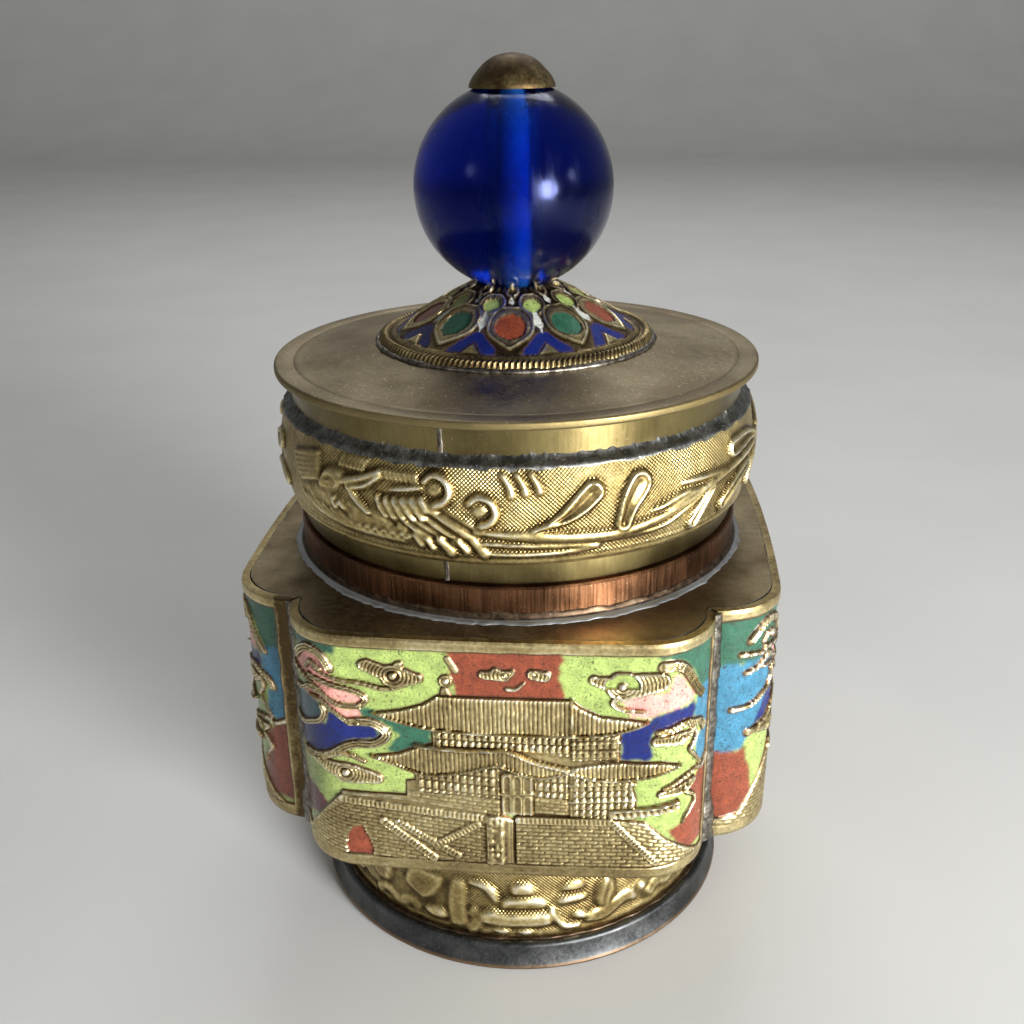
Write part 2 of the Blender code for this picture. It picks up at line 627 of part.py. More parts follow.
def build_lid(wall_finish, band_finish, disc_finish):
    height = LID_WALL_HEIGHT
    tube = [(lid_radius(0.0), LID_Z), (lid_radius(height), LID_Z + height),
            (lid_bore_radius(height), LID_Z + height), (lid_bore_radius(0.0), LID_Z)]
    put("lid_wall", turned_mesh(tube), wall_finish)

    shares = (0.0, 0.14, 0.45, 0.82, 1.0)
    outside = [(lid_band_radius(s), LID_BAND_Z + s * LID_BAND_HEIGHT) for s in shares]
    inside = []
    for share in (1.0, 0.7, 0.25, 0.0):
        up = share * LID_BAND_HEIGHT
        plain = lid_radius(LID_BAND_START + up) + SEAM_GAP
        inside.append((max(plain, lid_band_radius(share) - LID_BAND_WALL), LID_BAND_Z + up))
    wall = turned_mesh(outside + inside)
    unit = LID_BAND_HEIGHT / BAND_DRAWING_HEIGHT
    middle_radius = lid_band_radius(0.5)
    degree = math.radians(1.0) * middle_radius
    relief = bmesh.new()
    for turn in (0.0, 180.0):
        def place(across, up, out):
            angle = across / middle_radius + math.radians(turn)
            reach = lid_band_radius(up / LID_BAND_HEIGHT) + out
            return (reach * math.sin(angle), -reach * math.cos(angle), LID_BAND_Z + up)
        phoenix_picture(relief, place, unit, degree)
    joined("lid_band", wall, relief, band_finish)

    hole = ROD_RADIUS + SEAM_GAP
    edge = DISC_EDGE_ROUND
    land = LID_DISC_RADIUS - DISC_LAND_WIDTH
    rim = [(land, LID_DISC_Z), (LID_DISC_RADIUS - edge, LID_DISC_Z), (LID_DISC_RADIUS, LID_DISC_Z + edge),
           (LID_DISC_RADIUS, LID_DISC_TOP_Z - edge), (LID_DISC_RADIUS - edge, LID_DISC_TOP_Z),
           (land, LID_DISC_TOP_Z)]
    top = [(DOME_RIM_RADIUS, LID_DISC_TOP_Z + DISC_RISE), (hole, LID_DISC_TOP_Z + DISC_RISE)]
    under = [(hole, LID_DISC_Z + DISC_RISE), (DOME_RIM_RADIUS, LID_DISC_Z + DISC_RISE)]
    put("lid_disc", turned_mesh(rim + top + under), disc_finish)


def dome_height(radius):
    """Height of the dome's outside above its foot, inside its rope edge: nearly a cone."""
    foot = DOME_RIM_RADIUS - DOME_RIM_WIDTH
    share = (foot - radius) / (foot - DOME_TOP_RADIUS)
    start = 0.7 * DOME_RIM_HEIGHT
    return start + (DOME_HEIGHT - start) * share + DOME_SWELL * math.sin(math.pi * share)


def build_dome(finish):
    foot = DOME_RIM_RADIUS - DOME_RIM_WIDTH
    hole = ROD_RADIUS + SEAM_GAP
    rim = [(DOME_RIM_RADIUS, DOME_Z),
           (DOME_RIM_RADIUS - 0.2 * DOME_RIM_WIDTH, DOME_Z + 0.8 * DOME_RIM_HEIGHT),
           (DOME_RIM_RADIUS - 0.55 * DOME_RIM_WIDTH, DOME_Z + DOME_RIM_HEIGHT),
           (foot, DOME_Z + dome_height(foot))]
    radii = [foot + (DOME_TOP_RADIUS - foot) * k / 3 for k in range(1, 4)]
    outside = [(r, DOME_Z + dome_height(r)) for r in radii]
    seat = [(r, bead_surface(r, -1.0, SEAM_GAP)) for r in ((DOME_TOP_RADIUS + hole) / 2, hole)]
    inside = [(r, z - DOME_WALL) for r, z in (seat[1], outside[2], outside[1])]
    profile = rim + outside + seat + inside + [(foot - DOME_WALL, DOME_Z)]
    wall = turned_mesh(profile, DOME_STEPS)
    relief = bmesh.new()

    def place(across, up, out):
        return (up * math.sin(across), -up * math.cos(across), DOME_Z + dome_height(up) + out)

    for ring, shape in enumerate(DOME_PETALS):
        inner, low, high, outer, half = [v * DOME_RIM_RADIUS / DOME_DRAWING_RADIUS for v in shape]
        for k in range(PETAL_COUNT):
            middle = math.tau / PETAL_COUNT * (k + 0.5 * ring)
            outline = [(middle, inner), (middle + half / low, low), (middle + half / high, high),
                       (middle, outer), (middle - half / high, high), (middle - half / low, low)]
            prism(relief, place, outline, PETAL_HEIGHT)
    joined("lid_dome", wall, relief, finish)


def bead_surface(radius, side, gap=0.0):
    """Height of the bead's surface, or of a seat at a gap from it, above (1) or below (-1) its middle."""
    return BEAD_Z + side * math.sqrt((BEAD_RADIUS + gap) ** 2 - radius ** 2)


def build_finial(glass, rod_finish, cap_finish):
    start = math.acos(BEAD_BORE_RADIUS / BEAD_RADIUS)
    angles = [start * (2.0 * i / BEAD_LEVELS - 1.0) for i in range(BEAD_LEVELS + 1)]
    ball = [(BEAD_RADIUS * math.cos(a), BEAD_Z + BEAD_RADIUS * math.sin(a)) for a in angles]
    put("glass_bead", turned_mesh(ball, BEAD_STEPS), glass)

    cap_seat = bead_surface(CAP_RADIUS, 1.0, SEAM_GAP)
    cap_top = cap_seat + CAP_HEIGHT
    rod_top = cap_top - CAP_CROWN - SEAM_GAP
    head_top = LID_DISC_Z + DISC_RISE - SEAM_GAP
    head_low = head_top - ROD_HEAD_THICKNESS
    pin = [(0.0, head_low), (ROD_HEAD_RADIUS, head_low), (ROD_HEAD_RADIUS, head_top),
           (ROD_RADIUS, head_top), (ROD_RADIUS, rod_top), (0.0, rod_top)]
    put("finial_rod", turned_mesh(pin, ROD_STEPS), rod_finish)

    socket = ROD_RADIUS + SEAM_GAP
    crown = [(CAP_RADIUS, cap_seat)]
    rise = CAP_HEIGHT - CAP_EDGE
    for k in range(CAP_LEVELS):
        angle = math.pi / 2 * k / CAP_LEVELS
        crown.append((CAP_RADIUS * math.cos(angle), cap_seat + CAP_EDGE + rise * math.sin(angle)))
    crown += [(0.0, cap_top), (0.0, rod_top + SEAM_GAP), (socket, rod_top + SEAM_GAP)]
    under = [(r, bead_surface(r, 1.0, SEAM_GAP)) for r in (socket, (CAP_RADIUS + socket) / 2)]
    put("finial_cap", turned_mesh(crown + under, CAP_STEPS), cap_finish)


def main():
    clear_scene()
    cast_brass = material("cast_brass_and_enamel", "#A88A4C", 0.38, 1.0)
    embossed = material("embossed_brass", "#C2A25A", 0.32, 1.0)
    sheet = material("dark_sheet_brass", "#5A4A34", 0.5, 1.0)
    solder = material("solder_coated_brass", "#4A4D50", 0.45, 1.0)
    copper = material("filed_copper", "#7A4A2E", 0.42, 1.0)
    glass = material("cobalt_glass", "#0A1488", 0.06, 0.0)
    plain = material("spun_brass", "#9A7F48", 0.3, 1.0)
    build_foot(solder, embossed)
    build_panels(cast_brass)
    build_base_plate(sheet)
    build_shoulder_plate(sheet)
    build_neck(copper)
    build_lid(plain, embossed, sheet)
    build_dome(cast_brass)
    build_finial(glass, plain, plain)


main()
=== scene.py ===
"""Looks of a champleve enamel tea caddy, built round its packed solids.

The reliefs are drawn on flat canvases in millimetres, across and up, and then bent onto the walls that
carry them. Everything else is in metres, in the frame of the solids: +Z up, the front panel towards -Y.
"""

import logging
import math
from contextlib import contextmanager
from dataclasses import dataclass
from enum import Enum
from typing import Callable, Iterator, Sequence

import bmesh
import bpy
import numpy as np
from mathutils import Matrix, Vector


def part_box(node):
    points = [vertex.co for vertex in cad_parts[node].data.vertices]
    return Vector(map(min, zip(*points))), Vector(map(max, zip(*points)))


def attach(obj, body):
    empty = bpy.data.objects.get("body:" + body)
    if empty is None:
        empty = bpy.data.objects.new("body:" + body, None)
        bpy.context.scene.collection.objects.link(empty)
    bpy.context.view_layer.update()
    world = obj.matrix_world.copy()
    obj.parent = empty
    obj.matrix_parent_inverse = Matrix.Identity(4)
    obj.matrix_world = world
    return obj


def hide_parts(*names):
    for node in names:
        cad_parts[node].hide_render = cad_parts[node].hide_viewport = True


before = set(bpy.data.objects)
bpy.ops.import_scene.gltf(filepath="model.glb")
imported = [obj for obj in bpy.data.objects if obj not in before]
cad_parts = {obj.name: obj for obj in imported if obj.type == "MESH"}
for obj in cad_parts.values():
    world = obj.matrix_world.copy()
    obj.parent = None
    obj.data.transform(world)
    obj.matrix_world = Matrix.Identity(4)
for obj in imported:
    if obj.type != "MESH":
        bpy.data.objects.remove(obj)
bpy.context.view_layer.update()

log = logging.getLogger("caddy")

MM = 0.001
BODY = "root"

Point = tuple[float, float]
Place = tuple[float, float, float]
Colour = tuple[float, float, float, float]
Path = Sequence[Point]
Array = np.ndarray
Places = tuple[Array, ...]
Pattern = Callable[[Array, Array], Array]
Window = tuple[slice, slice]
Piece = bpy.types.Object
Socket = bpy.types.NodeSocket

# Radius of the ring that becomes a pole, in millimetres
POLE = 0.001

# How far out a point of a flat slab, 2 by 2, has to be to lie on its rim
EDGE = 0.9999

# Level of the enamel below the panel's plain border, in millimetres
FIELD = -0.3

# Brown ground between the dome's petals, and dirt along the seams of the enamel
DOME_GROUND = "#4A3328"


class Enamel(Enum):
    """Opaque vitreous enamels of the fields, as sRGB hex."""

    LIME = "#93A55B"
    RED = "#7A3A24"
    GREEN = "#2A5743"
    COBALT = "#0B1B5C"
    CYAN = "#38718C"
    PINK = "#D8968A"
    MAROON = "#5B2430"
    SLATE = "#39565F"
    # Pale fill that paints the white highlights between the dome's petals
    PAINTED_HIGHLIGHT = "#B9BDB4"


def height_of(node: str, end: int = 0) -> float:
    """Height of a node's foot, or of its top if the end is 1, in millimetres."""
    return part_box(node)[end].z / MM


def linear(code: str) -> Colour:
    """Linear red, green and blue of an sRGB code such as #RRGGBB, and an alpha of 1."""
    parts = [int(code[i:i + 2], 16) / 255.0 for i in (1, 3, 5)]
    return (*[c / 12.92 if c <= 0.04045 else ((c + 0.055) / 1.055) ** 2.4 for c in parts], 1.0)


# Drawing in millimetres

def eased(t: Array) -> Array:
    """Smooth step from 0 to 1."""
    t = np.clip(t, 0.0, 1.0)
    return t * t * (3.0 - 2.0 * t)


def grain(x: Array, y: Array, cell: float, seed: int) -> Array:
    """Smooth noise over a drawing.

    Args:
        x: places across, in millimetres.
        y: places up, in millimetres.
        cell: size of one blotch, in millimetres.
        seed: which noise it is.

    Returns:
        Values from -1 to 1.
    """
    table = np.random.default_rng(seed).uniform(-1.0, 1.0, (256, 256))
    u, v = x / cell, y / cell
    i, j = np.floor(u).astype(int), np.floor(v).astype(int)
    s, t = eased(u - i), eased(v - j)
    i0, i1, j0, j1 = i % 256, (i + 1) % 256, j % 256, (j + 1) % 256
    low = table[i0, j0] * (1 - s) + table[i1, j0] * s
    high = table[i0, j1] * (1 - s) + table[i1, j1] * s
    return low * (1 - t) + high * t


def distances(x: Array, y: Array, path: Path) -> tuple[Array, Array]:
    """Distance to a path, and how far along it the nearest point lies.

    Args:
        x: places across.
        y: places up.
        path: the path's points.

    Returns:
        The distance, and the share of the path's length from 0 to 1.
    """
    points = np.asarray(path, float)
    steps = np.diff(points, axis=0)
    lengths = np.hypot(steps[:, 0], steps[:, 1])
    before = np.concatenate([[0.0], np.cumsum(lengths)])
    best, share = np.full(x.shape, 1e9), np.zeros(x.shape)
    for start, step, length, done in zip(points, steps, lengths, before):
        if length == 0.0:
            continue
        t = np.clip(((x - start[0]) * step[0] + (y - start[1]) * step[1]) / length ** 2, 0.0, 1.0)
        gap = np.hypot(x - start[0] - t * step[0], y - start[1] - t * step[1])
        closer = gap < best
        best = np.where(closer, gap, best)
        share = np.where(closer, (done + t * length) / before[-1], share)
    return best, share


def depth_inside(x: Array, y: Array, outline: Path) -> Array:
    """Distance to the edge of a closed outline, negative outside it.

    Args:
        x: places across.
        y: places up.
        outline: the outline's corners.

    Returns:
        The depth at each place.
    """
    closed = list(outline) + [outline[0]]
    gap, _ = distances(x, y, closed)
    odd = np.zeros(x.shape, bool)
    for (ax, ay), (bx, by) in zip(closed, closed[1:]):
        if ay != by:
            odd ^= ((ay > y) != (by > y)) & (x < (bx - ax) * (y - ay) / (by - ay) + ax)
    return np.where(odd, gap, -gap)


def curve(points: Path, steps: int = 6) -> list[Point]:
    """Points of a smooth curve through some points.

    Args:
        points: the points it passes.
        steps: how many steps it takes between two of them.

    Returns:
        The curve's points.
    """
    p = np.asarray([points[0], *points, points[-1]], float)
    made = []
    for a, b, c, d in zip(p, p[1:], p[2:], p[3:]):
        for t in np.arange(steps) / steps:
            made.append(0.5 * (2 * b + (c - a) * t + (2 * a - 5 * b + 4 * c - d) * t ** 2
                               + (3 * b - a - 3 * c + d) * t ** 3))
    return [tuple(q) for q in made] + [tuple(p[-1])]


def beside(path: Path, offset: float) -> list[Point]:
    """A path moved sideways, to its left.

    Args:
        path: the path's points.
        offset: how far, in millimetres.

    Returns:
        The moved path.
    """
    p = np.asarray(path, float)
    run = np.gradient(p, axis=0)
    run /= np.maximum(np.hypot(run[:, 0], run[:, 1]), 1e-9)[:, None]
    return [tuple(q) for q in p + offset * np.stack([-run[:, 1], run[:, 0]], axis=1)]


def ribs(pitch: float, lean: float = 0.0) -> Pattern:
    """Rounded upright ribs, such as a roof's tiles, by their distance in millimetres and their lean."""
    return lambda x, y: (np.abs(np.cos(math.pi * (x - lean * y + 0.05 * grain(x, y, 1.1, 3)) / pitch)) ** 0.8
                         * (0.86 + 0.14 * grain(x, y, 0.7, 4)))


def courses(height: float, length: float, slope: float = 0.0) -> Pattern:
    """Bricks in staggered courses.

    Args:
        height: height of a course, in millimetres.
        length: length of a brick.
        slope: rise of the courses across.

    Returns:
        A pattern from 0, in the joints, to 1.
    """
    def pattern(x: Array, y: Array) -> Array:
        """The bricks at each place.

        Args:
            x: places across.
            y: places up.

        Returns:
            The pattern there.
        """
        level = (y - slope * x + 0.07 * grain(x, y, 2.5, 11)) / height
        row = np.floor(level)
        along = x / length + 0.5 * (row % 2) + 0.15 * grain(x, row, 3.0, 12)
        bed = np.minimum(level - row, 1 - (level - row)) * height
        joint = np.minimum(along - np.floor(along), 1 - (along - np.floor(along))) * length
        worn = 0.75 + 0.25 * grain(x, y, 0.8, 14)
        return worn * eased(np.minimum(bed / 0.22, 0.05 + joint / 0.27))
    return pattern


def panes(pitch: float, rise: float, start: float, slope: float = 0.0) -> Pattern:
    """Rows of small upright blocks, such as a lattice of windows.

    Args:
        pitch: distance from block to block, in millimetres.
        rise: distance from row to row.
        start: height of the lowest row's foot.
        slope: rise of the rows across.

    Returns:
        A pattern from 0, between the blocks, to 1.
    """
    def pattern(x: Array, y: Array) -> Array:
        """The blocks at each place.

        Args:
            x: places across.
            y: places up.

        Returns:
            The pattern there.
        """
        level = (y - slope * x - start) / rise
        part = level - np.floor(level)
        wide = 0.30 - 0.10 * part
        off = np.abs((x / pitch + 0.04 * grain(x, y, 1.3, 13)) % 1.0 - 0.5)
        block = eased((wide + 0.12 - off) / 0.14)
        return block * eased(np.minimum(part / 0.14, (0.92 - part) / 0.16))
    return pattern


class Canvas:
    """A flat drawing of relief and enamel: heights in millimetres, brass or enamel, and colours."""

    def __init__(self, across: Array, up: Array) -> None:
        """Starts a blank sheet of brass.

        Args:
            across: places across, one for each point of a grid, in millimetres.
            up: places up.
        """
        self.across, self.up = across, up
        self.height = np.zeros(across.shape)
        self.metal = np.ones(across.shape)
        self.bare = np.ones(across.shape)
        self.colour = np.zeros((*across.shape, 3))

    @classmethod
    def blank(cls, start: float, end: float, tall: float, grid: tuple[int, int]) -> "Canvas":
        """A canvas from its left and right ends, its height, and its columns and rows."""
        return cls(*np.meshgrid(np.linspace(start, end, grid[0]), np.linspace(0.0, tall, grid[1])))

    def tiled(self, count: int) -> "Canvas":
        """The drawing repeated side by side, closed into a ring.

        Args:
            count: how many times.

        Returns:
            The wider drawing.
        """
        width = self.across[0, -1] - self.across[0, 0]
        low = self.across[:, :-1]
        across = np.concatenate([low + k * width for k in range(count)] + [low[:, :1] + count * width],
                                axis=1)
        made = Canvas(across, np.tile(self.up[:, :1], (1, across.shape[1])))
        for layer in ("height", "metal", "bare", "colour"):
            one = getattr(self, layer)
            setattr(made, layer, np.concatenate([one[:, :-1]] * count + [one[:, :1]], axis=1))
        return made

    def near(self, points: Path, margin: float) -> tuple[Window, Array, Array]:
        """The part of the canvas near some points.

        Args:
            points: the points.
            margin: how far from them it reaches.

        Returns:
            Its rows and its columns, and the places across and up in it.
        """
        low, high = np.min(points, axis=0) - margin, np.max(points, axis=0) + margin
        close = (self.across > low[0]) & (self.across < high[0]) & (self.up > low[1]) & (self.up < high[1])
        box = tuple(slice(found.min(initial=0), found.max(initial=-1) + 1) if found.size else slice(0, 0)
                    for found in (np.flatnonzero(close.any(axis=axis)) for axis in (1, 0)))
        return box, self.across[box], self.up[box]

    def enamel(self, outline: Path, colour: Enamel, ragged: float = 0.22) -> None:
        """Fills a field with enamel.

        Args:
            outline: the field's corners.
            colour: its enamel.
            ragged: how far its granular edge strays, in millimetres.
        """
        box, x, y = self.near(outline, 1.0)
        depth = depth_inside(x, y, outline) + ragged * grain(x, y, 0.3, 5) + ragged * grain(x, y, 1.1, 6)
        self.colour[box] = np.where((depth > 0.0)[..., None], linear(colour.value)[:3], self.colour[box])
        self.metal[box] = np.where(depth > 0.0, 0.0, self.metal[box])
        self.height[box] = np.where(depth > 0.0, FIELD, self.height[box])

    def lay(self, box: Window, depth: Array, level: Array, edge: float) -> None:
        """Lays brass where a depth is above zero.

        Args:
            box: the rows and columns that it lies in.
            depth: distance to its edge, negative outside.
            level: its height.
            edge: width of its rounded edge, in millimetres.
        """
        self.height[box] += (level - self.height[box]) * eased(depth / edge)
        self.bare[box] *= 1.0 - eased(depth / edge)
        self.metal[box] = np.maximum(self.metal[box], np.clip(0.5 + depth / 0.3, 0.0, 1.0))

    def plate(self, outline: Path, high: float, low: float | None = None, pattern: Pattern | None = None,
              edge: float = 0.25) -> None:
        """Raises a brass shape, flat or patterned.

        Args:
            outline: its corners.
            high: its height, or the height of the pattern's tops.
            low: the height between the pattern's tops.
            pattern: the pattern.
            edge: width of its rounded edge.
        """
        box, x, y = self.near(outline, 1.0)
        level = np.full(x.shape, high) if pattern is None else low + (high - low) * pattern(x, y)
        self.lay(box, depth_inside(x, y, outline), level, edge)

    def line(self, path: Path, width: float, high: float, ends: Point = (1.0, 1.0),
             floor: float = FIELD) -> None:
        """Raises a rounded brass line.

        Args:
            path: its points.
            width: its width.
            high: height of its crest.
            ends: share of the width at its start and its end.
            floor: height that it rises from.
        """
        box, x, y = self.near(path, width)
        gap, share = distances(x, y, path)
        half = 0.5 * width * (ends[0] + (ends[1] - ends[0]) * share)
        dome = np.sqrt(np.clip(1.0 - (gap / half) ** 2, 0.0, 1.0))
        self.bare[box] *= 1.0 - eased(dome / 0.6)
        self.height[box] = np.maximum(self.height[box], np.where(dome > 0, floor + (high - floor) * dome,
                                                                 -9.0))
        self.metal[box] = np.maximum(self.metal[box], np.clip(0.5 + (half - gap) / 0.25, 0.0, 1.0))

    def sweep(self, points: Path, count: int, pitch: float, high: float, ends: Point = (1.0, 0.5)) -> None:
        """Raises several lines side by side along a curve.

        Args:
            points: points of the middle line.
            count: how many lines.
            pitch: distance between them.
            high: height of their crests.
            ends: share of the width at the start and the end.
        """
        middle = curve(points)
        box, x, y = self.near(middle, count * pitch)
        gap, share = distances(x, y, middle)
        half = 0.5 * count * pitch * (ends[0] + (ends[1] - ends[0]) * share)
        self.lay(box, half - gap, np.full(gap.shape, -0.1), 0.15)
        for k in range(count):
            aside = (k - (count - 1) / 2) * pitch
            self.line(beside(middle, aside * (ends[0] + ends[1]) / 2), pitch * 0.75, high, ends, -0.1)

    def groove(self, path: Path, width: float, deep: float) -> None:
        """Cuts a soft groove into raised brass.

        Args:
            path: its points.
            width: its width.
            deep: how deep it is.
        """
        box, x, y = self.near(path, width)
        gap, share = distances(x, y, path)
        run_out = eased(share / 0.15) * eased((1.0 - share) / 0.15)
        self.height[box] -= deep * np.exp(-(gap / (0.42 * width)) ** 2) * run_out

    def ticks(self, start: Point, end: Point, width: float, pitch: float, high: float) -> None:
        """Raises a rail: a row of short upright bars between two thin edges.

        Args:
            start: its left end, at its middle height.
            end: its right end.
            width: its width.
            pitch: distance from bar to bar.
            high: height of the bars.
        """
        box, x, y = self.near([start, end], width)
        gap, share = distances(x, y, [start, end])
        length = math.dist(start, end)
        bars = np.abs(np.cos(math.pi * share * length / pitch)) ** 1.2
        edge = np.exp(-((gap - 0.42 * width) / 0.16) ** 2)
        level = 0.08 + (high - 0.08) * np.maximum(bars * (gap < 0.36 * width), 0.9 * edge)
        self.lay(box, 0.5 * width - gap, level, 0.15)

    def pearl(self, centre: Point, radius: float, high: float) -> None:
        """Raises a round pearl in a ring.

        Args:
            centre: its middle.
            radius: its radius.
            high: its height.
        """
        box, x, y = self.near([centre], 2.2 * radius)
        gap = np.hypot(x - centre[0], y - centre[1])
        ball = np.sqrt(np.clip(1.0 - (gap / radius) ** 2, 0.0, 1.0))
        ring = np.exp(-((gap - 1.55 * radius) / (0.3 * radius)) ** 2)
        level = -0.1 + np.maximum((high + 0.1) * ball, 0.45 * (high + 0.1) * ring)
        self.lay(box, 1.95 * radius - gap, level, 0.2)

    def cloud(self, centre: Point, lobes: Sequence[tuple[float, float, float, float]], pitch: float = 0.5,
              open_eye: bool = False, eye: float = 0.55) -> None:
        """Raises a scrolled cloud: lobes ribbed with arcs round a pearl, and a line round them.

        Args:
            centre: middle of the pearl.
            lobes: for each lobe, where it ends from the pearl, and its half width there and at the pearl.
            pitch: distance from rib to rib.
            open_eye: whether enamel shows round the pearl.
            eye: radius of the pearl.
        """
        ends = [(centre[0] + dx, centre[1] + dy) for dx, dy, _, _ in lobes]
        box, x, y = self.near([centre, *ends], 3.0)
        depth = np.full(x.shape, -9.0)
        for end, (_, _, far, near) in zip(ends, lobes):
            gap, share = distances(x, y, [centre, end])
            depth = np.maximum(depth, near + (far - near) * share - gap)
        depth += 0.12 * grain(x, y, 0.9, 17)
        around = np.hypot(x - centre[0], 1.15 * (y - centre[1]))
        ripple = np.abs(np.cos(math.pi * (around - 2.0 * eye) / pitch))
        rim = np.exp(-((depth - 0.26) / 0.19) ** 2)
        level = np.maximum(-0.12 + 0.24 * ripple, 0.24 * rim - 0.1)
        level = np.where(around < 1.5 * eye, -0.14, level)
        self.lay(box, depth, level, 0.22)
        if open_eye:
            ring = (around < 5.0 * eye) & (around > 1.5 * eye) & (y > centre[1] - 0.4 * eye) & (depth > 0.45)
            self.metal[box] = np.where(ring, 0.0, self.metal[box])
            self.height[box] = np.where(ring, FIELD, self.height[box])
        gap = np.hypot(x - centre[0], y - centre[1])
        ball = np.sqrt(np.clip(1.0 - (gap / eye) ** 2, 0.0, 1.0))
        self.lay(box, eye - gap + 0.1, -0.12 + 0.42 * ball, 0.1)

    def blurred(self, values: Array, reach: int) -> Array:
        """A smoothed copy of some values.

        Args:
            values: one for each point of the grid.
            reach: how many points it smooths over, each way.

        Returns:
            The smoothed values.
        """
        for axis in (0, 1):
            weights = [math.exp(-(2.0 * k / (reach + 1)) ** 2) for k in range(-reach, reach + 1)]
            padded = np.pad(values, [(reach, reach) if a == axis else (0, 0) for a in (0, 1)], mode="edge")
            size = values.shape[axis]
            values = sum(w * np.take(padded, range(k, k + size), axis=axis)
                         for k, w in enumerate(weights)) / sum(weights)
        return values

    def layers(self) -> dict[str, Array]:
        """What the materials read at each point.

        Returns:
            metal, 1 on brass and 0 on enamel; rub_and_shading, how far a point stands above what is round it,
            which gives patina and painted shade in hollows, and worn metal and a painted highlight on crests;
            seam, 1 where brass and enamel meet; bare, 1 on the ground between the forms; enamel, the
            colours; and sheet, the place on the drawing in millimetres.
        """
        soft = self.blurred(self.metal, 2)
        # Height above the blurred height: patina and painted shade in hollows, worn metal and a painted
        # highlight on crests
        rub_and_shading = (self.height - self.blurred(self.height, 5)) / 0.16
        return {"metal": self.metal, "rub_and_shading": np.clip(rub_and_shading, -1.0, 1.0), "seam": 4.0 * soft * (1.0 - soft),
                "bare": self.bare, "enamel": self.colour,
                "sheet": np.stack([self.across, self.up, 0.0 * self.up], axis=2)}


# Meshes

def fresh(name: str) -> Piece:
    """Names the primitive that was just added."""
    bpy.context.active_object.name = bpy.context.active_object.data.name = name
    return bpy.context.active_object


def put_down() -> None:
    """Deselects everything."""
    bpy.ops.object.select_all(action="DESELECT")


@contextmanager
def editing(piece: Piece) -> Iterator[None]:
    """Holds a piece in edit mode, with all of it selected at first.

    Args:
        piece: the piece.

    Yields:
        Nothing.
    """
    put_down()
    piece.select_set(True)
    bpy.context.view_layer.objects.active = piece
    bpy.ops.object.mode_set(mode="EDIT")
    bpy.ops.mesh.select_all(action="SELECT")
    yield
    bpy.ops.object.mode_set(mode="OBJECT")


def pick_edges(piece: Piece, rule: Callable[[bmesh.types.BMEdge], bool]) -> None:
    """Selects the edges that a rule holds for, in edit mode.

    Args:
        piece: the piece.
        rule: tells whether an edge is one of them.
    """
    mesh = bmesh.from_edit_mesh(piece.data)
    for edge in mesh.edges:
        edge.select_set(rule(edge))
    bmesh.update_edit_mesh(piece.data)


def pull(step: Place) -> None:
    """Draws new faces out of the selected edges, by a step in metres."""
    bpy.ops.mesh.extrude_edges_move(TRANSFORM_OT_translate={"value": step})


def relief_slab(name: str, canvas: Canvas, wall: float, bend: Callable, ring: bool) -> Piece:
    """A drawing raised on a wall: a grid whose edges are folded back and joined behind it.

    Args:
        name: the piece's name.
        canvas: the drawing, whose first and last columns meet if it is a ring.
        wall: thickness of the wall, in millimetres.
        bend: turns (across, up, out) in millimetres into x, y and z in millimetres.
        ring: whether it goes all the way round.

    Returns:
        The piece.
    """
    rows, columns = canvas.across.shape
    put_down()
    bpy.ops.mesh.primitive_grid_add(x_subdivisions=columns - 1, y_subdivisions=rows - 1, size=2.0)
    piece = fresh(name)
    with editing(piece):
        pick_edges(piece, lambda edge: (edge.verts[0].co.y == edge.verts[1].co.y
                                        and abs(edge.verts[0].co.y) > EDGE))
        bpy.ops.mesh.select_mode(type="EDGE")
        pull((0.0, 0.0, -1.0))
        bpy.ops.mesh.bridge_edge_loops()
        for side in () if ring else (-1.0, 1.0):
            bpy.ops.mesh.select_all(action="DESELECT")
            pick_edges(piece, lambda edge: edge.is_boundary and all(v.co.x * side > EDGE for v in edge.verts))
            bpy.ops.mesh.edge_face_add()
    raise_relief(piece, canvas, wall, bend)
    if ring:
        weld(piece)
    face_outwards(piece)
    return piece


def raise_relief(piece: Piece, canvas: Canvas, wall: float, bend: Callable) -> None:
    """Bends a flat slab onto its wall, raises the drawing on it and gives it the drawing's layers.

    Args:
        piece: the flat slab, 2 by 2, with its front at 0 and its back at -1.
        canvas: the drawing.
        wall: thickness of the wall, in millimetres.
        bend: turns (across, up, out) into x, y and z.
    """
    flat = places_of(piece)
    column, row = [np.rint((flat[:, axis] + 1.0) / 2.0 * (canvas.across.shape[1 - axis] - 1)).astype(int)
                   for axis in (0, 1)]
    front = flat[:, 2] > -0.5
    out = np.where(front, canvas.height[row, column], -wall)
    put_places(piece, bend(canvas.across[row, column], canvas.up[row, column], out))
    for layer, values in canvas.layers().items():
        picked = values[row, column]
        kind, field = ("FLOAT", "value")
        if layer == "sheet":
            kind, field = ("FLOAT_VECTOR", "vector")
        elif layer == "enamel":
            kind, field = ("FLOAT_COLOR", "color")
            picked = np.concatenate([picked, np.ones((len(picked), 1))], axis=1)
        else:
            picked = np.where(front, picked, 1.0 if layer == "metal" else 0.0)
        made = piece.data.attributes.new(layer, kind, "POINT")
        made.data.foreach_set(field, picked.astype(np.float32).ravel())


def weld(piece: Piece, reach: float = 0.002) -> None:
    """Joins a piece's points that lie on each other."""
    with editing(piece):
        bpy.ops.mesh.remove_doubles(threshold=reach * MM)


def face_outwards(piece: Piece, sharp: float = 50.0) -> None:
    """Turns a closed piece's faces outwards and shades it smooth.

    Args:
        piece: the piece.
        sharp: angle above which an edge stays sharp, in degrees.
    """
    with editing(piece):
        bpy.ops.mesh.normals_make_consistent(inside=False)
    bpy.ops.object.shade_smooth_by_angle(angle=math.radians(sharp))


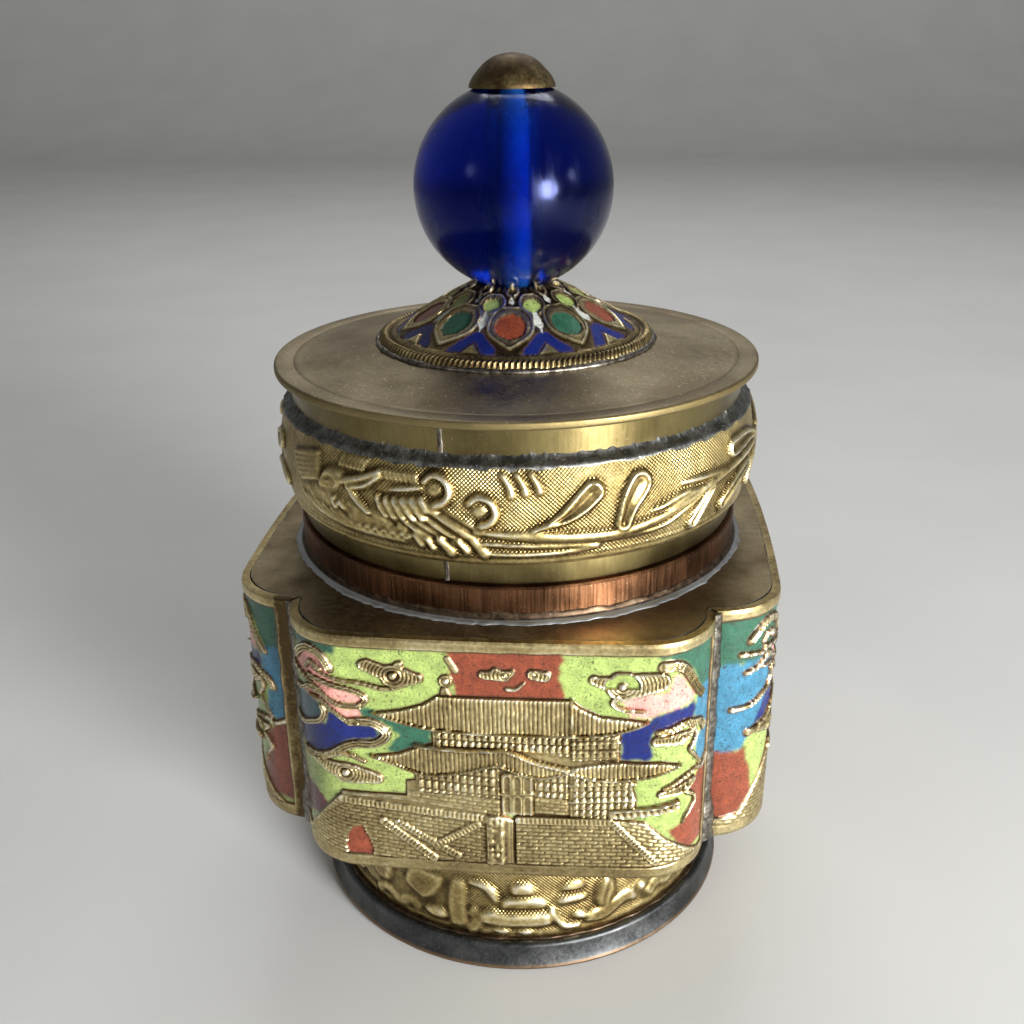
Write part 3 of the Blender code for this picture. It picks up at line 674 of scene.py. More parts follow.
def turned(name: str, profile: Path, steps: int = 192, sharp: float = 30.0) -> Piece:
    """A turned piece: a ring drawn up and in along its profile, and closed on itself or at its two poles.

    Args:
        name: the piece's name.
        profile: (radius, height) points in millimetres. It is closed, or starts and ends on the axis.
        steps: how many steps it takes round.
        sharp: angle above which an edge stays sharp.

    Returns:
        The piece.
    """
    places = [(max(radius, POLE), height) for radius, height in profile]
    radius, height = places[0]
    put_down()
    bpy.ops.mesh.primitive_circle_add(vertices=steps, radius=radius * MM, location=(0.0, 0.0, height * MM))
    piece = fresh(name)
    bpy.ops.object.transform_apply(location=True)
    on_axis = radius == POLE
    with editing(piece):
        for next_radius, next_height in places[1:]:
            pull((0.0, 0.0, (next_height - height) * MM))
            share = next_radius / radius
            bpy.ops.transform.resize(value=(share, share, 1.0), center_override=(0.0, 0.0, next_height * MM))
            radius, height = next_radius, next_height
        if not on_axis:
            pick_edges(piece, lambda edge: edge.is_boundary)
            bpy.ops.mesh.bridge_edge_loops()
    if on_axis:
        weld(piece, 3.0 * POLE)
    face_outwards(piece, sharp)
    return piece


def smeared(piece: Piece, shift: Callable[[Array, Array, Array], Places], sharp: float = 60.0) -> Piece:
    """Makes a ring of solder uneven, as it ran.

    Args:
        piece: the ring.
        shift: turns distance from the axis, angle and height into a new distance and height.
        sharp: angle above which an edge stays sharp.

    Returns:
        The ring.
    """
    def place(x: Array, y: Array, z: Array) -> Places:
        """The points' new places."""
        angle = np.arctan2(y, x)
        away, z = shift(np.hypot(x, y), angle, z)
        return away * np.cos(angle), away * np.sin(angle), z

    moved(piece, place)
    face_outwards(piece, sharp)
    return piece


def ring(name: str, radius: float, height: float, wide: float, tall: float, seed: int,
         ragged: float = 0.3, outline: Callable[[Array], Array] = np.zeros_like) -> Piece:
    """A ring of solder round the axis.

    Args:
        name: the piece's name.
        radius: radius of its middle, in millimetres.
        height: height of its middle.
        wide: half its width.
        tall: half its height.
        seed: which unevenness it has.
        ragged: how uneven it is, as a share of its size.
        outline: turns an angle into what the radius is counted from, if it isn't the axis.

    Returns:
        The piece.
    """
    put_down()
    bpy.ops.mesh.primitive_torus_add(major_segments=320, minor_segments=8, major_radius=1.0,
                                     minor_radius=0.25)

    def shift(away: Array, angle: Array, z: Array) -> Places:
        """From a torus of radius 1 m and thickness 0.25 m.

        Args:
            away: distance from the axis.
            angle: angle round it.
            z: height.

        Returns:
            The distance and the height after it.
        """
        place = 30.0 * np.cos(angle), 30.0 * np.sin(angle)
        swell = 1.0 + ragged * (grain(*place, 1.3, seed) + 0.6 * grain(*place, 4.5, seed + 1))
        middle = outline(angle) + radius
        return middle + wide * swell * (away * MM - 1.0) / 0.25, height + tall * swell * z * MM / 0.25

    return smeared(fresh(name), shift, 180.0)


def run(name: str, steps: int, place: Callable[[Array, Array, Array], Places]) -> Piece:
    """A run of solder along a line.

    Args:
        name: the piece's name.
        steps: how many steps it takes along the line.
        place: turns the share along the line, and the two places on a circle of radius 1 round it, into x, y
            and z in millimetres.

    Returns:
        The piece.
    """
    put_down()
    bpy.ops.mesh.primitive_circle_add(vertices=14, radius=1.0, fill_type="NGON")
    piece = fresh(name)
    with editing(piece):
        for _ in range(steps):
            bpy.ops.mesh.extrude_region_move(TRANSFORM_OT_translate={"value": (0.0, 0.0, 1.0)})
    moved(piece, lambda x, y, z: place(z * MM / steps, x * MM, y * MM))
    face_outwards(piece, 60.0)
    return piece


def rounded(centre: Point, radius: float, start: float, end: float, steps: int = 5) -> list[Point]:
    """Points of an arc of a profile, from its middle, its radius and two angles in degrees."""
    angles = np.radians(np.linspace(start, end, steps + 1))
    return [(centre[0] + radius * math.cos(a), centre[1] + radius * math.sin(a)) for a in angles]


def places_of(piece: Piece) -> Array:
    """Places of a piece's points, in metres.

    Args:
        piece: the piece.

    Returns:
        x, y and z of each point.
    """
    places = np.empty(len(piece.data.vertices) * 3)
    piece.data.vertices.foreach_get("co", places)
    return places.reshape(-1, 3)


def put_places(piece: Piece, places: Places) -> None:
    """Puts a piece's points on new x, y and z, in millimetres."""
    piece.data.vertices.foreach_set("co", (np.stack(places, axis=1) * MM).astype(np.float32).ravel())
    piece.data.update()


def moved(piece: Piece, shift: Callable[[Array, Array, Array], Places]) -> None:
    """Moves a piece's points, by a function of x, y and z in millimetres."""
    put_places(piece, shift(*(places_of(piece) / MM).T))


def copied(piece: Piece, name: str, quarter_turns: int) -> Piece:
    """A copy of a piece with its own mesh, turned about the axis.

    Args:
        piece: what is copied.
        name: the copy's name.
        quarter_turns: how many quarter turns to the left.

    Returns:
        The copy.
    """
    made = piece.copy()
    made.data = piece.data.copy()
    made.name = made.data.name = name
    bpy.context.scene.collection.objects.link(made)
    made.data.transform(Matrix.Rotation(quarter_turns * math.pi / 2, 4, "Z"))
    return made


def finish_piece(piece: Piece, material: bpy.types.Material, slot: str, *nodes: str) -> None:
    """Gives a piece its material and its place in the frame.

    Args:
        piece: the piece.
        material: its material.
        slot: the record's material slot that it belongs to; not used.
        nodes: the nodes of the frame that it stands for.
    """
    piece.data.materials.clear()
    piece.data.materials.append(material)
    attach(piece, BODY)
    if nodes:
        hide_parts(*nodes)
    log.info("%s: %d faces", piece.name, len(piece.data.polygons))


# Materials

class Shading:
    """One material while it is made: its nodes and its shader."""

    def __init__(self, name: str) -> None:
        """Starts a material.

        Args:
            name: its name.
        """
        self.material = bpy.data.materials.new(name)
        self.material.use_nodes = True
        self.tree = self.material.node_tree
        self.shader = self.tree.nodes["Principled BSDF"]

    def add(self, kind: str, inputs: dict | None = None, **settings: object) -> bpy.types.Node:
        """Adds a shader node.

        Args:
            kind: the node's kind, without its prefix.
            inputs: for each input, by name or number, a value or the socket that feeds it.
            settings: the node's own settings.

        Returns:
            The node.
        """
        node = self.tree.nodes.new("ShaderNode" + kind)
        for key, value in settings.items():
            setattr(node, key, value)
        for key, value in (inputs or {}).items():
            if isinstance(value, Socket):
                self.tree.links.new(value, node.inputs[key])
            else:
                node.inputs[key].default_value = value
        return node

    def feed(self, name: str, socket: Socket) -> None:
        """Feeds one of the shader's own sockets."""
        self.tree.links.new(socket, self.shader.inputs[name])

    def layer(self, name: str, output: str = "Fac") -> Socket:
        """One of the drawing's layers, as canvases name them."""
        return self.add("Attribute", attribute_name=name).outputs[output]

    def place(self) -> Socket:
        """Place on the piece, in metres."""
        return self.add("TexCoord").outputs["Object"]

    def noise(self, size: float, stretch: Place = (1.0, 1.0, 1.0), detail: float = 3.0) -> Socket:
        """A noise of a real size on the piece.

        Args:
            size: size of its blotches, in millimetres.
            stretch: share of the scale along each axis.
            detail: how much finer noise it holds.

        Returns:
            Its value, about 0.5.
        """
        scaled = self.add("Mapping", {"Vector": self.place(), "Scale": stretch}).outputs[0]
        return self.add("TexNoise", {"Vector": scaled, "Scale": 1.0 / (size * MM),
                                     "Detail": detail}).outputs[0]

    def ramped(self, value: Socket, low: float, high: float, to_low: float = 0.0,
               to_high: float = 1.0) -> Socket:
        """A value carried from one range to another and held inside it."""
        inputs = {"Value": value, "From Min": low, "From Max": high, "To Min": to_low, "To Max": to_high}
        return self.add("MapRange", inputs).outputs[0]

    def mixed(self, share: Socket | float, first: Socket | Colour, second: Socket | Colour,
              blend: str = "MIX") -> Socket:
        """A mix of two colours by a share from 0 to 1."""
        inputs = {0: share, 6: first, 7: second}
        return self.add("Mix", inputs, data_type="RGBA", blend_type=blend).outputs[2]

    def shaded(self, colour: Socket, light: Socket) -> Socket:
        """A colour made lighter or darker by a factor."""
        grey = self.add("CombineColor", {0: light, 1: light, 2: light}).outputs[0]
        return self.mixed(1.0, colour, grey, "MULTIPLY")

    def joined(self, operation: str, *numbers: Socket | float) -> Socket:
        """Numbers joined by an operation."""
        return self.add("Math", dict(enumerate(numbers)), operation=operation).outputs[0]

    def bump(self, height: Socket, strength: float, deep: float, **under: Socket) -> Socket:
        """The surface's direction over bumps of a height, a strength and a depth in millimetres."""
        return self.add("Bump", {"Height": height, "Strength": strength, "Distance": deep * MM,
                                 **under}).outputs[0]


@dataclass(frozen=True)
class Tarnish:
    """Colours of brass from its hollows to its tops: patina with painted shade in the hollows, then the body,
    then worn metal and a painted highlight on the crests.
    """

    hollow: str
    body: str
    rubbed_and_highlight: str
    painted_highlight: str


@dataclass(frozen=True)
class ReliefBrass:
    """Cast or embossed brass, and the enamel in its fields.

    Brass relief shows brown patina with painted shade in its hollows, and worn yellow metal with a painted
    highlight on its crests. The enamel is opaque glass, ground and fired: grainy, with pits, and a little
    duller than a glaze.
    """

    name: str
    tarnish: Tarnish
    has_enamel: bool
    roughness: float = 0.34
    grain_mm: float = 0.28
    patch_mm: float = 9.0
    punch_mm: float = 0.0
    seam_line: str = "#7A5440"
    seam_dirt: str = DOME_GROUND
    pit: str = "#2A1E16"

    def punched(self, made: Shading) -> Socket:
        """The dots punched into the ground, in staggered rows.

        Args:
            made: the material.

        Returns:
            Their height, from -1 to 1, and 0 on the raised forms.
        """
        place = made.add("SeparateXYZ", {0: made.layer("sheet", "Vector")}).outputs
        waves = []
        for axis in (0, 1):
            angle = made.joined("MULTIPLY", place[axis], math.tau / (math.sqrt(2.0) * self.punch_mm))
            waves.append(made.joined("COSINE", angle))
        bare = made.layer("bare")
        return made.joined("MULTIPLY", made.joined("MULTIPLY", *waves), bare)

    def brass(self, made: Shading) -> Socket:
        """Colour of the brass.

        Args:
            made: the material.

        Returns:
            The colour.
        """
        rub_and_shading = made.layer("rub_and_shading")
        speck = made.ramped(made.noise(0.5), 0.3, 0.7, -0.25, 0.25)
        patch = made.ramped(made.noise(self.patch_mm, detail=4.0), 0.35, 0.65, -0.3, 0.3)
        # worn carries painted light as well as wear: hollows are painted darker as shade, crests lighter as a
        # highlight
        worn = made.joined("ADD", made.joined("ADD", rub_and_shading, speck), patch)
        if self.punch_mm:
            worn = made.joined("ADD", worn, made.joined("MULTIPLY", self.punched(made), 0.34))
        if self.has_enamel:
            worn = made.joined("SUBTRACT", worn, made.joined("MULTIPLY", made.layer("bare"), 0.7))
        tarnish = self.tarnish
        # Hollows get patina with painted shade; crests get worn metal and then a painted highlight
        low = made.mixed(made.ramped(worn, -0.8, -0.05), linear(tarnish.hollow), linear(tarnish.body))
        high = made.mixed(made.ramped(worn, 0.0, 0.7), low, linear(tarnish.rubbed_and_highlight))
        return made.mixed(made.ramped(worn, 0.65, 1.15), high, linear(tarnish.painted_highlight))

    def enamel(self, made: Shading, seam: Socket) -> Socket:
        """Colour of the enamel.

        Args:
            made: the material.
            seam: 1 where it meets the brass.

        Returns:
            The colour.
        """
        glass = made.layer("enamel", "Color")
        cloudy = made.ramped(made.noise(1.6, detail=4.0), 0.3, 0.7, 0.78, 1.22)
        grainy = made.ramped(made.noise(self.grain_mm, detail=2.0), 0.25, 0.75, 0.72, 1.3)
        glass = made.shaded(glass, made.joined("MULTIPLY", cloudy, grainy))
        for size, least in ((0.34, 0.64), (0.6, 0.7)):
            pits = made.ramped(made.noise(size, detail=1.0), least, least + 0.06, 0.0, 0.7)
            glass = made.mixed(pits, glass, linear(self.pit))
        return made.mixed(made.ramped(seam, 0.3, 1.0, 0.0, 0.55), glass, linear(self.seam_dirt))

    def build(self) -> bpy.types.Material:
        """Makes the material.

        Returns:
            The material.
        """
        made = Shading(self.name)
        made.shader.inputs["Metallic"].default_value = 1.0
        colour = self.brass(made)
        rough = made.ramped(made.noise(1.2, detail=5.0), 0.3, 0.7, self.roughness - 0.08,
                            self.roughness + 0.14)
        if self.has_enamel:
            cover = made.ramped(made.layer("metal"), 0.42, 0.58)
            seam = made.layer("seam")
            colour = made.mixed(made.ramped(seam, 0.35, 0.95, 0.0, 0.6), colour, linear(self.seam_line))
            colour = made.mixed(cover, self.enamel(made, seam), colour)
            made.feed("Metallic", cover)
            dull = made.ramped(made.noise(0.5), 0.3, 0.7, 0.22, 0.42)
            rough = made.add("Mix", {0: cover, 2: dull, 3: rough}, data_type="FLOAT").outputs[0]
        made.feed("Base Color", colour)
        made.feed("Roughness", rough)
        normal = made.bump(made.noise(0.22, detail=2.0), 0.25, 0.05)
        if self.punch_mm:
            normal = made.bump(self.punched(made), 0.8, 0.06, Normal=normal)
        made.feed("Normal", normal)
        return made.material


@dataclass(frozen=True)
class PlainMetal:
    """Plain sheet, drawn, filed or soldered metal.

    The eye sees a broad soft gloss, streaked the way it was rubbed, with stains and dust on it.
    """

    name: str
    colour: str
    stain: str
    dust: str
    roughness: float
    stain_mm: float = 8.0
    streak: Place = (1.0, 1.0, 1.0)
    streak_mm: float = 0.5
    streak_depth: float = 0.2
    dusty: float = 0.3
    uneven: float = 0.12
    metallic: float = 1.0
    # Distance from the axis, in millimetres, beyond which the edge takes its own colour: worn metal on the
    # skirt and the disc, a painted highlight on the collar's fillet
    rubbed_and_highlight_beyond: float = 0.0
    rubbed_and_highlight: str = "#B8A672"
    # How far the gloss is drawn out up and down, as on turned metal
    drawn_out: float = 0.0

    def build(self) -> bpy.types.Material:
        """Makes the material.

        Returns:
            The material.
        """
        made = Shading(self.name)
        made.shader.inputs["Metallic"].default_value = self.metallic
        stain = made.ramped(made.noise(self.stain_mm, detail=5.0), 0.4, 0.62)
        streaks = made.noise(self.streak_mm, self.streak, detail=4.0)
        light = made.ramped(streaks, 0.3, 0.7, 1.0 - self.streak_depth, 1.0 + self.streak_depth)
        colour = made.shaded(made.mixed(stain, linear(self.colour), linear(self.stain)), light)
        specks = made.ramped(made.noise(0.35, detail=1.0), 0.66, 0.78, 0.0, self.dusty)
        colour = made.mixed(specks, colour, linear(self.dust))
        # The outer edge takes its own colour: worn metal, and on the collar's fillet a painted highlight
        if self.rubbed_and_highlight_beyond:
            flat = made.add("VectorMath", {0: made.place(), 1: (1.0, 1.0, 0.0)},
                            operation="MULTIPLY").outputs[0]
            away = made.add("VectorMath", {0: flat}, operation="LENGTH").outputs["Value"]
            start, end = ((self.rubbed_and_highlight_beyond + step) * MM for step in (-0.1, 0.1))
            colour = made.mixed(made.ramped(away, start, end, 0.0, 0.8), colour, linear(self.rubbed_and_highlight))
        made.feed("Base Color", colour)
        half, rough = self.uneven / 2, self.roughness
        patchy = made.ramped(made.noise(4.0, detail=4.0), 0.3, 0.7, rough - half, rough + self.uneven)
        made.feed("Roughness", made.joined("ADD", made.ramped(streaks, 0.3, 0.7, -half, half), patchy))
        if self.drawn_out:
            made.shader.inputs["Anisotropic"].default_value = self.drawn_out
            made.feed("Tangent", made.add("CombineXYZ", {"Z": 1.0}).outputs[0])
        made.feed("Normal", made.bump(streaks, 0.3, 0.03))
        return made.material


@dataclass(frozen=True)
class CobaltGlass:
    """Clear cobalt-blue glass, fire polished and since scratched: deep blue, with a soft bright gloss."""

    name: str = "cobalt_glass"
    surface: str = "#DDE2F6"
    gloss: str = "#7882B8"
    # Light that 1 mm of the glass takes away, in red, green and blue
    taken: Place = (0.42, 0.19, 0.066)
    index: float = 1.52
    roughness: float = 0.15

    def build(self) -> bpy.types.Material:
        """Makes the material.

        Returns:
            The material.
        """
        made = Shading(self.name)
        made.shader.inputs["Transmission Weight"].default_value = 1.0
        made.shader.inputs["IOR"].default_value = self.index
        made.shader.inputs["Base Color"].default_value = linear(self.surface)
        made.shader.inputs["Specular Tint"].default_value = linear(self.gloss)
        scratch = made.noise(1.4, (1.0, 1.0, 0.15), detail=6.0)
        made.feed("Roughness", made.ramped(scratch, 0.45, 0.7, self.roughness, self.roughness + 0.16))
        most = max(self.taken)
        shares = (*[1.0 - part / most for part in self.taken], 1.0)
        depth = made.add("VolumeAbsorption", {"Density": most / MM, "Color": shares})
        output = next(node for node in made.tree.nodes if node.type == "OUTPUT_MATERIAL")
        made.tree.links.new(depth.outputs[0], output.inputs["Volume"])
        return made.material


# Each runs from patina with painted shade in the hollows to worn metal and a painted highlight on the crests
BRASS_CAST = Tarnish(hollow="#56462E", body="#A8966A", rubbed_and_highlight="#DACC9C", painted_highlight="#F6F0DE")
BRASS_THIN = Tarnish(hollow="#54452A", body="#A4905E", rubbed_and_highlight="#DCCA92", painted_highlight="#F8F0D4")


class Finishes:
    """All the materials, made once."""

    enamelled = ReliefBrass("cast_brass_with_fired_enamel", BRASS_CAST, True, 0.38)
    embossed = ReliefBrass("thin_embossed_brass", BRASS_THIN, False, punch_mm=0.38)
    dark_sheet = PlainMetal("patinated_sheet_brass", "#94866A", "#726249", "#CFC6B2", 0.42)
    solder = PlainMetal("soft_solder", "#8A8479", "#565048", "#F0F1F2", 0.38, 0.9, dusty=0.6)
    dull_solder = PlainMetal("oxidised_solder", "#7C7C78", "#565652", "#D6D9DC", 0.44, 1.6, (1.0, 1.0, 0.2),
                             0.3, 0.35, 0.7)
    # Its whitish outer edge is a painted highlight on the fillet round the collar
    crust = PlainMetal("grimy_solder", "#5A4A3A", "#3C3026", "#A8A8A4", 0.42, 1.6, rubbed_and_highlight_beyond=33.3,
                       rubbed_and_highlight="#C4C8CA")
    tinned = PlainMetal("solder_coated_brass", "#5C5D5D", "#434546", "#9CA0A4", 0.42, 5.0,
                        rubbed_and_highlight_beyond=33.28, rubbed_and_highlight="#94785A")
    copper = PlainMetal("filed_copper", "#80593E", "#5A3F2C", "#C2A688", 0.36, 9.0, (1.0, 1.0, 0.03), 0.28,
                        0.5, drawn_out=0.5)
    spun = PlainMetal("brushed_brass", "#8C7E53", "#6F623F", "#C9B98A", 0.3, 9.0, (1.0, 1.0, 0.12), 0.4, 0.09,
                      uneven=0.04, drawn_out=0.7)
    disc = PlainMetal("dusty_sheet_brass", "#94886F", "#7B6E57", "#E2DBC9", 0.5, 14.0, dusty=0.6,
                      rubbed_and_highlight_beyond=34.85, rubbed_and_highlight="#85764C")
    cap = PlainMetal("antique_brass_cap", "#6F6241", "#4A3A26", "#8F7E5A", 0.44, 3.5, uneven=0.2)
    cement = PlainMetal("pale_cement", "#DCDDD8", "#C6C8C4", "#ECECE8", 0.6, metallic=0.0)
    glass = CobaltGlass()

    def __init__(self) -> None:
        """Turns each finish into its material."""
        for name, finish in vars(Finishes).items():
            if hasattr(finish, "build"):
                setattr(self, name, finish.build())


# Pieces

@dataclass
class PanelSet:
    """Four cast panels with rounded ends, each with the same enamelled palace among clouds.

    Sizes are in millimetres. The form follows the solids: a bowed face, rounded ends and mitred edges.
    """

    finishes: Finishes
    reach: float = 38.5
    notch_depth: float = 10.1
    corner: float = 9.4
    bow: float = 357.0
    wall: float = 1.2
    seam: float = 0.3
    border_top: float = 1.75
    border_bottom: float = 2.0
    border_left: float = 0.5
    border_right: float = 3.0
    front_grid: tuple[int, int] = (431, 222)
    other_grid: tuple[int, int] = (315, 162)

    # At their left ends the side panels and the back one carry other enamels than the front
    side_fields: tuple = (
        (Enamel.LIME, [(-34, 1.8), (-34, 16), (-20, 16), (-19.5, 11), (-21, 4), (-22, 1.8)]),
        (Enamel.GREEN, [(-34, 27.8), (-24, 27.8), (-22, 29), (-21, 36.4), (-34, 36.4)]),
        (Enamel.CYAN, [(-34, 14), (-29, 14), (-27, 17.2), (-24.2, 21.5), (-22.5, 25), (-23, 28),
                       (-34, 28.2)]),
        (Enamel.RED, [(-34, 1.8), (-28, 1.8), (-26.2, 6), (-26.6, 9), (-28.2, 14), (-34, 14.4)]),
    )

    def lengths(self) -> tuple[float, float, float, float]:
        """Lengths along half a panel.

        Returns:
            The face, the rounded end, the straight run into the notch, and the face's half angle.
        """
        notch = self.reach - self.notch_depth
        turn = math.asin((notch - self.corner) / (1.0 - self.corner / self.bow) / self.bow)
        drop = self.bow * (1.0 - math.cos(turn))
        straight = self.reach - drop - self.corner * math.cos(turn) - notch
        return self.bow * turn, self.corner * (math.pi / 2 - turn), straight, turn

    def bend(self, across: Array, up: Array, out: Array) -> Places:
        """Bends a flat drawing onto the front panel.

        Args:
            across: length along the outside from the middle.
            up: height above the panel's foot.
            out: height above the outside.

        Returns:
            x, y and z.
        """
        face, end, straight, turn = self.lengths()
        along = np.abs(across)
        flat = along <= face
        angle = np.where(flat, along / self.bow, np.minimum(turn + (along - face) / self.corner, math.pi / 2))
        inner = self.bow - self.corner
        radius = np.where(flat, self.bow, self.corner) + out
        x = np.where(flat, 0.0, inner * math.sin(turn)) + radius * np.sin(angle)
        y = self.bow - self.reach - np.where(flat, 0.0, inner * math.cos(turn)) - radius * np.cos(angle)
        run = np.clip((along - face - end) / straight, 0.0, 1.0)
        y = y + run * (straight - self.seam / math.sqrt(2.0)) - run * np.minimum(out, 0.0) * (out < -0.6)
        return x * np.sign(across), y, up + height_of("panel_front")

    def draw(self, grid: tuple[int, int]) -> Canvas:
        """Draws the panel.

        Args:
            grid: columns and rows of the canvas.

        Returns:
            The drawing.
        """
        half, tall = sum(self.lengths()[:3]), height_of("panel_front", 1) - height_of("panel_front")
        sheet = Canvas.blank(-half, half, tall, grid)
        sheet.metal[:] = 0.0
        sheet.height[:] = FIELD + 0.03 * grain(sheet.across, sheet.up, 1.8, 21)
        sheet.colour[:] = linear(Enamel.LIME.value)[:3]
        self.draw_fields(sheet)
        if grid == self.other_grid:
            for colour, outline in self.side_fields:
                sheet.enamel(outline, colour)
        for part in range(3):
            sheet.colour[..., part] = sheet.blurred(sheet.colour[..., part], 2)
        self.draw_palace(sheet)
        self.draw_terrace(sheet)
        self.draw_clouds(sheet)
        self.draw_border(sheet)
        return sheet

    def draw_fields(self, sheet: Canvas) -> None:
        """Fills the sky and the ground with enamels.

        Args:
            sheet: the drawing.
        """
        fields = (
            (Enamel.GREEN, [(-34, 31.5), (-29, 32.6), (-27, 33.4), (-22.5, 33.2), (-21, 33.6), (-20.8, 36.4),
                            (-34, 36.4)]),
            (Enamel.RED, [(-6.3, 36.4), (-4.9, 27.8), (9, 27.8), (8.2, 31.5), (9.1, 36.4)]),
            (Enamel.GREEN, [(20.6, 36.4), (21.4, 34), (23.6, 33.7), (25.3, 32.6), (26.4, 31.2), (27.5, 29.3),
                            (28.9, 27.3), (34, 27.6), (34, 36.4)]),
            (Enamel.CYAN, [(26.9, 24.1), (27.1, 27), (28.4, 28.2), (34, 28.2), (34, 16.2), (28.6, 16.2),
                           (27.6, 17.8), (27.6, 20.6), (29.4, 21.9), (28.5, 23)]),
            (Enamel.PINK, [(16.2, 28.8), (22.4, 29.2), (23, 31.4), (23.9, 31.6), (24.9, 30.4), (26.9, 28),
                           (26.3, 27), (23, 26.3), (21, 26.1), (19.8, 25.5), (17.6, 25.5), (16.6, 27)]),
            (Enamel.COBALT, [(16.3, 23.3), (20, 25.1), (21, 26), (23, 26.4), (25.7, 26.4), (26.7, 27.1),
                             (27.1, 25.8), (26.9, 24.1), (25.3, 24.1), (23, 23.7), (20.6, 23.1), (20.4, 21.3),
                             (20.6, 19.1), (16.4, 19.1)]),
            (Enamel.RED, [(28.9, 15.8), (34, 17), (34, 3), (26.4, 2.6), (23, 7.4), (25.6, 7.9), (26.1, 8.9),
                          (27.1, 9.9), (27.9, 10.9), (27.5, 11.9), (26.3, 12.9), (27.9, 14.4)]),
            (Enamel.SLATE, [(-34, 22), (-27.7, 21.3), (-25.4, 22.3), (-24, 23), (-23.4, 24.4), (-23.8, 25.3),
                            (-26, 26), (-29, 26.4), (-34, 27.5)]),
            (Enamel.PINK, [(-29, 30.5), (-27.5, 32), (-25, 33.6), (-22.8, 33), (-21.6, 31.2), (-21.4, 29.6),
                           (-19.5, 28.2), (-16.9, 27.2), (-17.7, 26), (-20.2, 26.2), (-23.8, 27.2),
                           (-27, 28.3), (-30, 29)]),
            (Enamel.PINK, [(-27.5, 26.2), (-25.4, 27.2), (-23.4, 26.9), (-21.8, 25.9), (-20.2, 25.4),
                           (-17.7, 25.4), (-17.6, 24.2), (-19.4, 23.5), (-21.8, 25.1), (-23.4, 25.6),
                           (-25.4, 25.9)]),
            (Enamel.COBALT, [(-21.8, 25.1), (-20, 23.7), (-18.7, 23.1), (-16.3, 23), (-15.1, 21.7),
                             (-16.1, 20.9), (-18.7, 20.7), (-20.2, 20.1), (-22, 18.8), (-24.4, 17.6),
                             (-26.7, 17.2), (-34, 17), (-34, 21.2), (-27.7, 20.9), (-25.2, 21.7),
                             (-23.2, 22.8), (-22.6, 24.2)]),
            (Enamel.GREEN, [(-18.2, 25.6), (-14.5, 25.6), (-8.3, 23.4), (-8.3, 20.6), (-12, 18.4),
                            (-14.6, 19.4), (-12.9, 21.8), (-14.8, 23.6), (-17.4, 24)]),
            (Enamel.MAROON, [(-34, 11.6), (-28, 11), (-25, 10.4), (-24, 9.2), (-25.6, 6.8), (-34, 4)]),
        )
        for colour, outline in fields:
            sheet.enamel(outline, colour)

    def draw_palace(self, sheet: Canvas) -> None:
        """Raises the palace: its silhouette, then its storeys and its roofs from below.

        Args:
            sheet: the drawing.
        """
        sheet.plate([(-12.3, 10.6), (-12.2, 14.9), (-11, 15.1), (-10.9, 16.5), (-8.4, 20), (-8.4, 23.2),
                     (16.3, 23.2), (16.3, 18.8), (18.2, 16.6), (18.2, 15), (18.6, 9.8)], -0.08)
        # Lower storey: a wall of lattices left and right of a gate
        sheet.plate([(-10.8, 13.2), (-10.8, 16.4), (-4, 18.2), (0.5, 18.4), (0.5, 12.6), (-4, 13)], 0.26,
                    0.04, panes(0.96, 1.42, 13.2, -0.08))
        sheet.plate([(-12.2, 10.4), (-12.2, 13.4), (-4, 13.1), (0.5, 12.5), (0.5, 9.4)], 0.14, 0.0,
                    courses(0.62, 1.3, -0.1))
        sheet.plate([(5, 13.2), (5, 17.2), (9.6, 17.6), (9.6, 12.9)], 0.26, 0.04,
                    panes(0.9, 1.5, 13.0, -0.05))
        sheet.plate([(5, 10.4), (5, 13.2), (9.6, 12.9), (9.6, 10.2)], 0.16, 0.02,
                    courses(0.58, 1.4, -0.08))
        sheet.plate([(9.7, 10), (9.7, 17.4), (18.1, 16.8), (18.1, 15), (18.6, 13.4), (18.6, 9.9)], 0.28,
                    0.06, panes(0.92, 1.0, 9.8, 0.05))
        for level in (12.6, 15.2):
            sheet.line([(9.7, level), (18.4, level + 0.5)], 0.4, 0.3)
        # Gate with two arches, one over the other
        sheet.plate([(0.6, 10.2), (0.6, 16.4), (1.2, 17), (4.4, 17), (5, 16.4), (5, 10.2)], 0.22)
        for foot, top in ((10.4, 13.3), (13.9, 16.6)):
            for side in (0.95, 2.3, 3.65):
                arch = [(side, foot), (side, top - 0.5), (side + 0.5, top), (side + 1.0, top - 0.5),
                        (side + 1.0, foot)]
                sheet.plate(arch, 0.14, edge=0.2)
                sheet.line(curve(arch, 3), 0.3, 0.32, floor=0.2)
        sheet.line([(0.6, 13.5), (5.0, 13.8)], 0.45, 0.36)
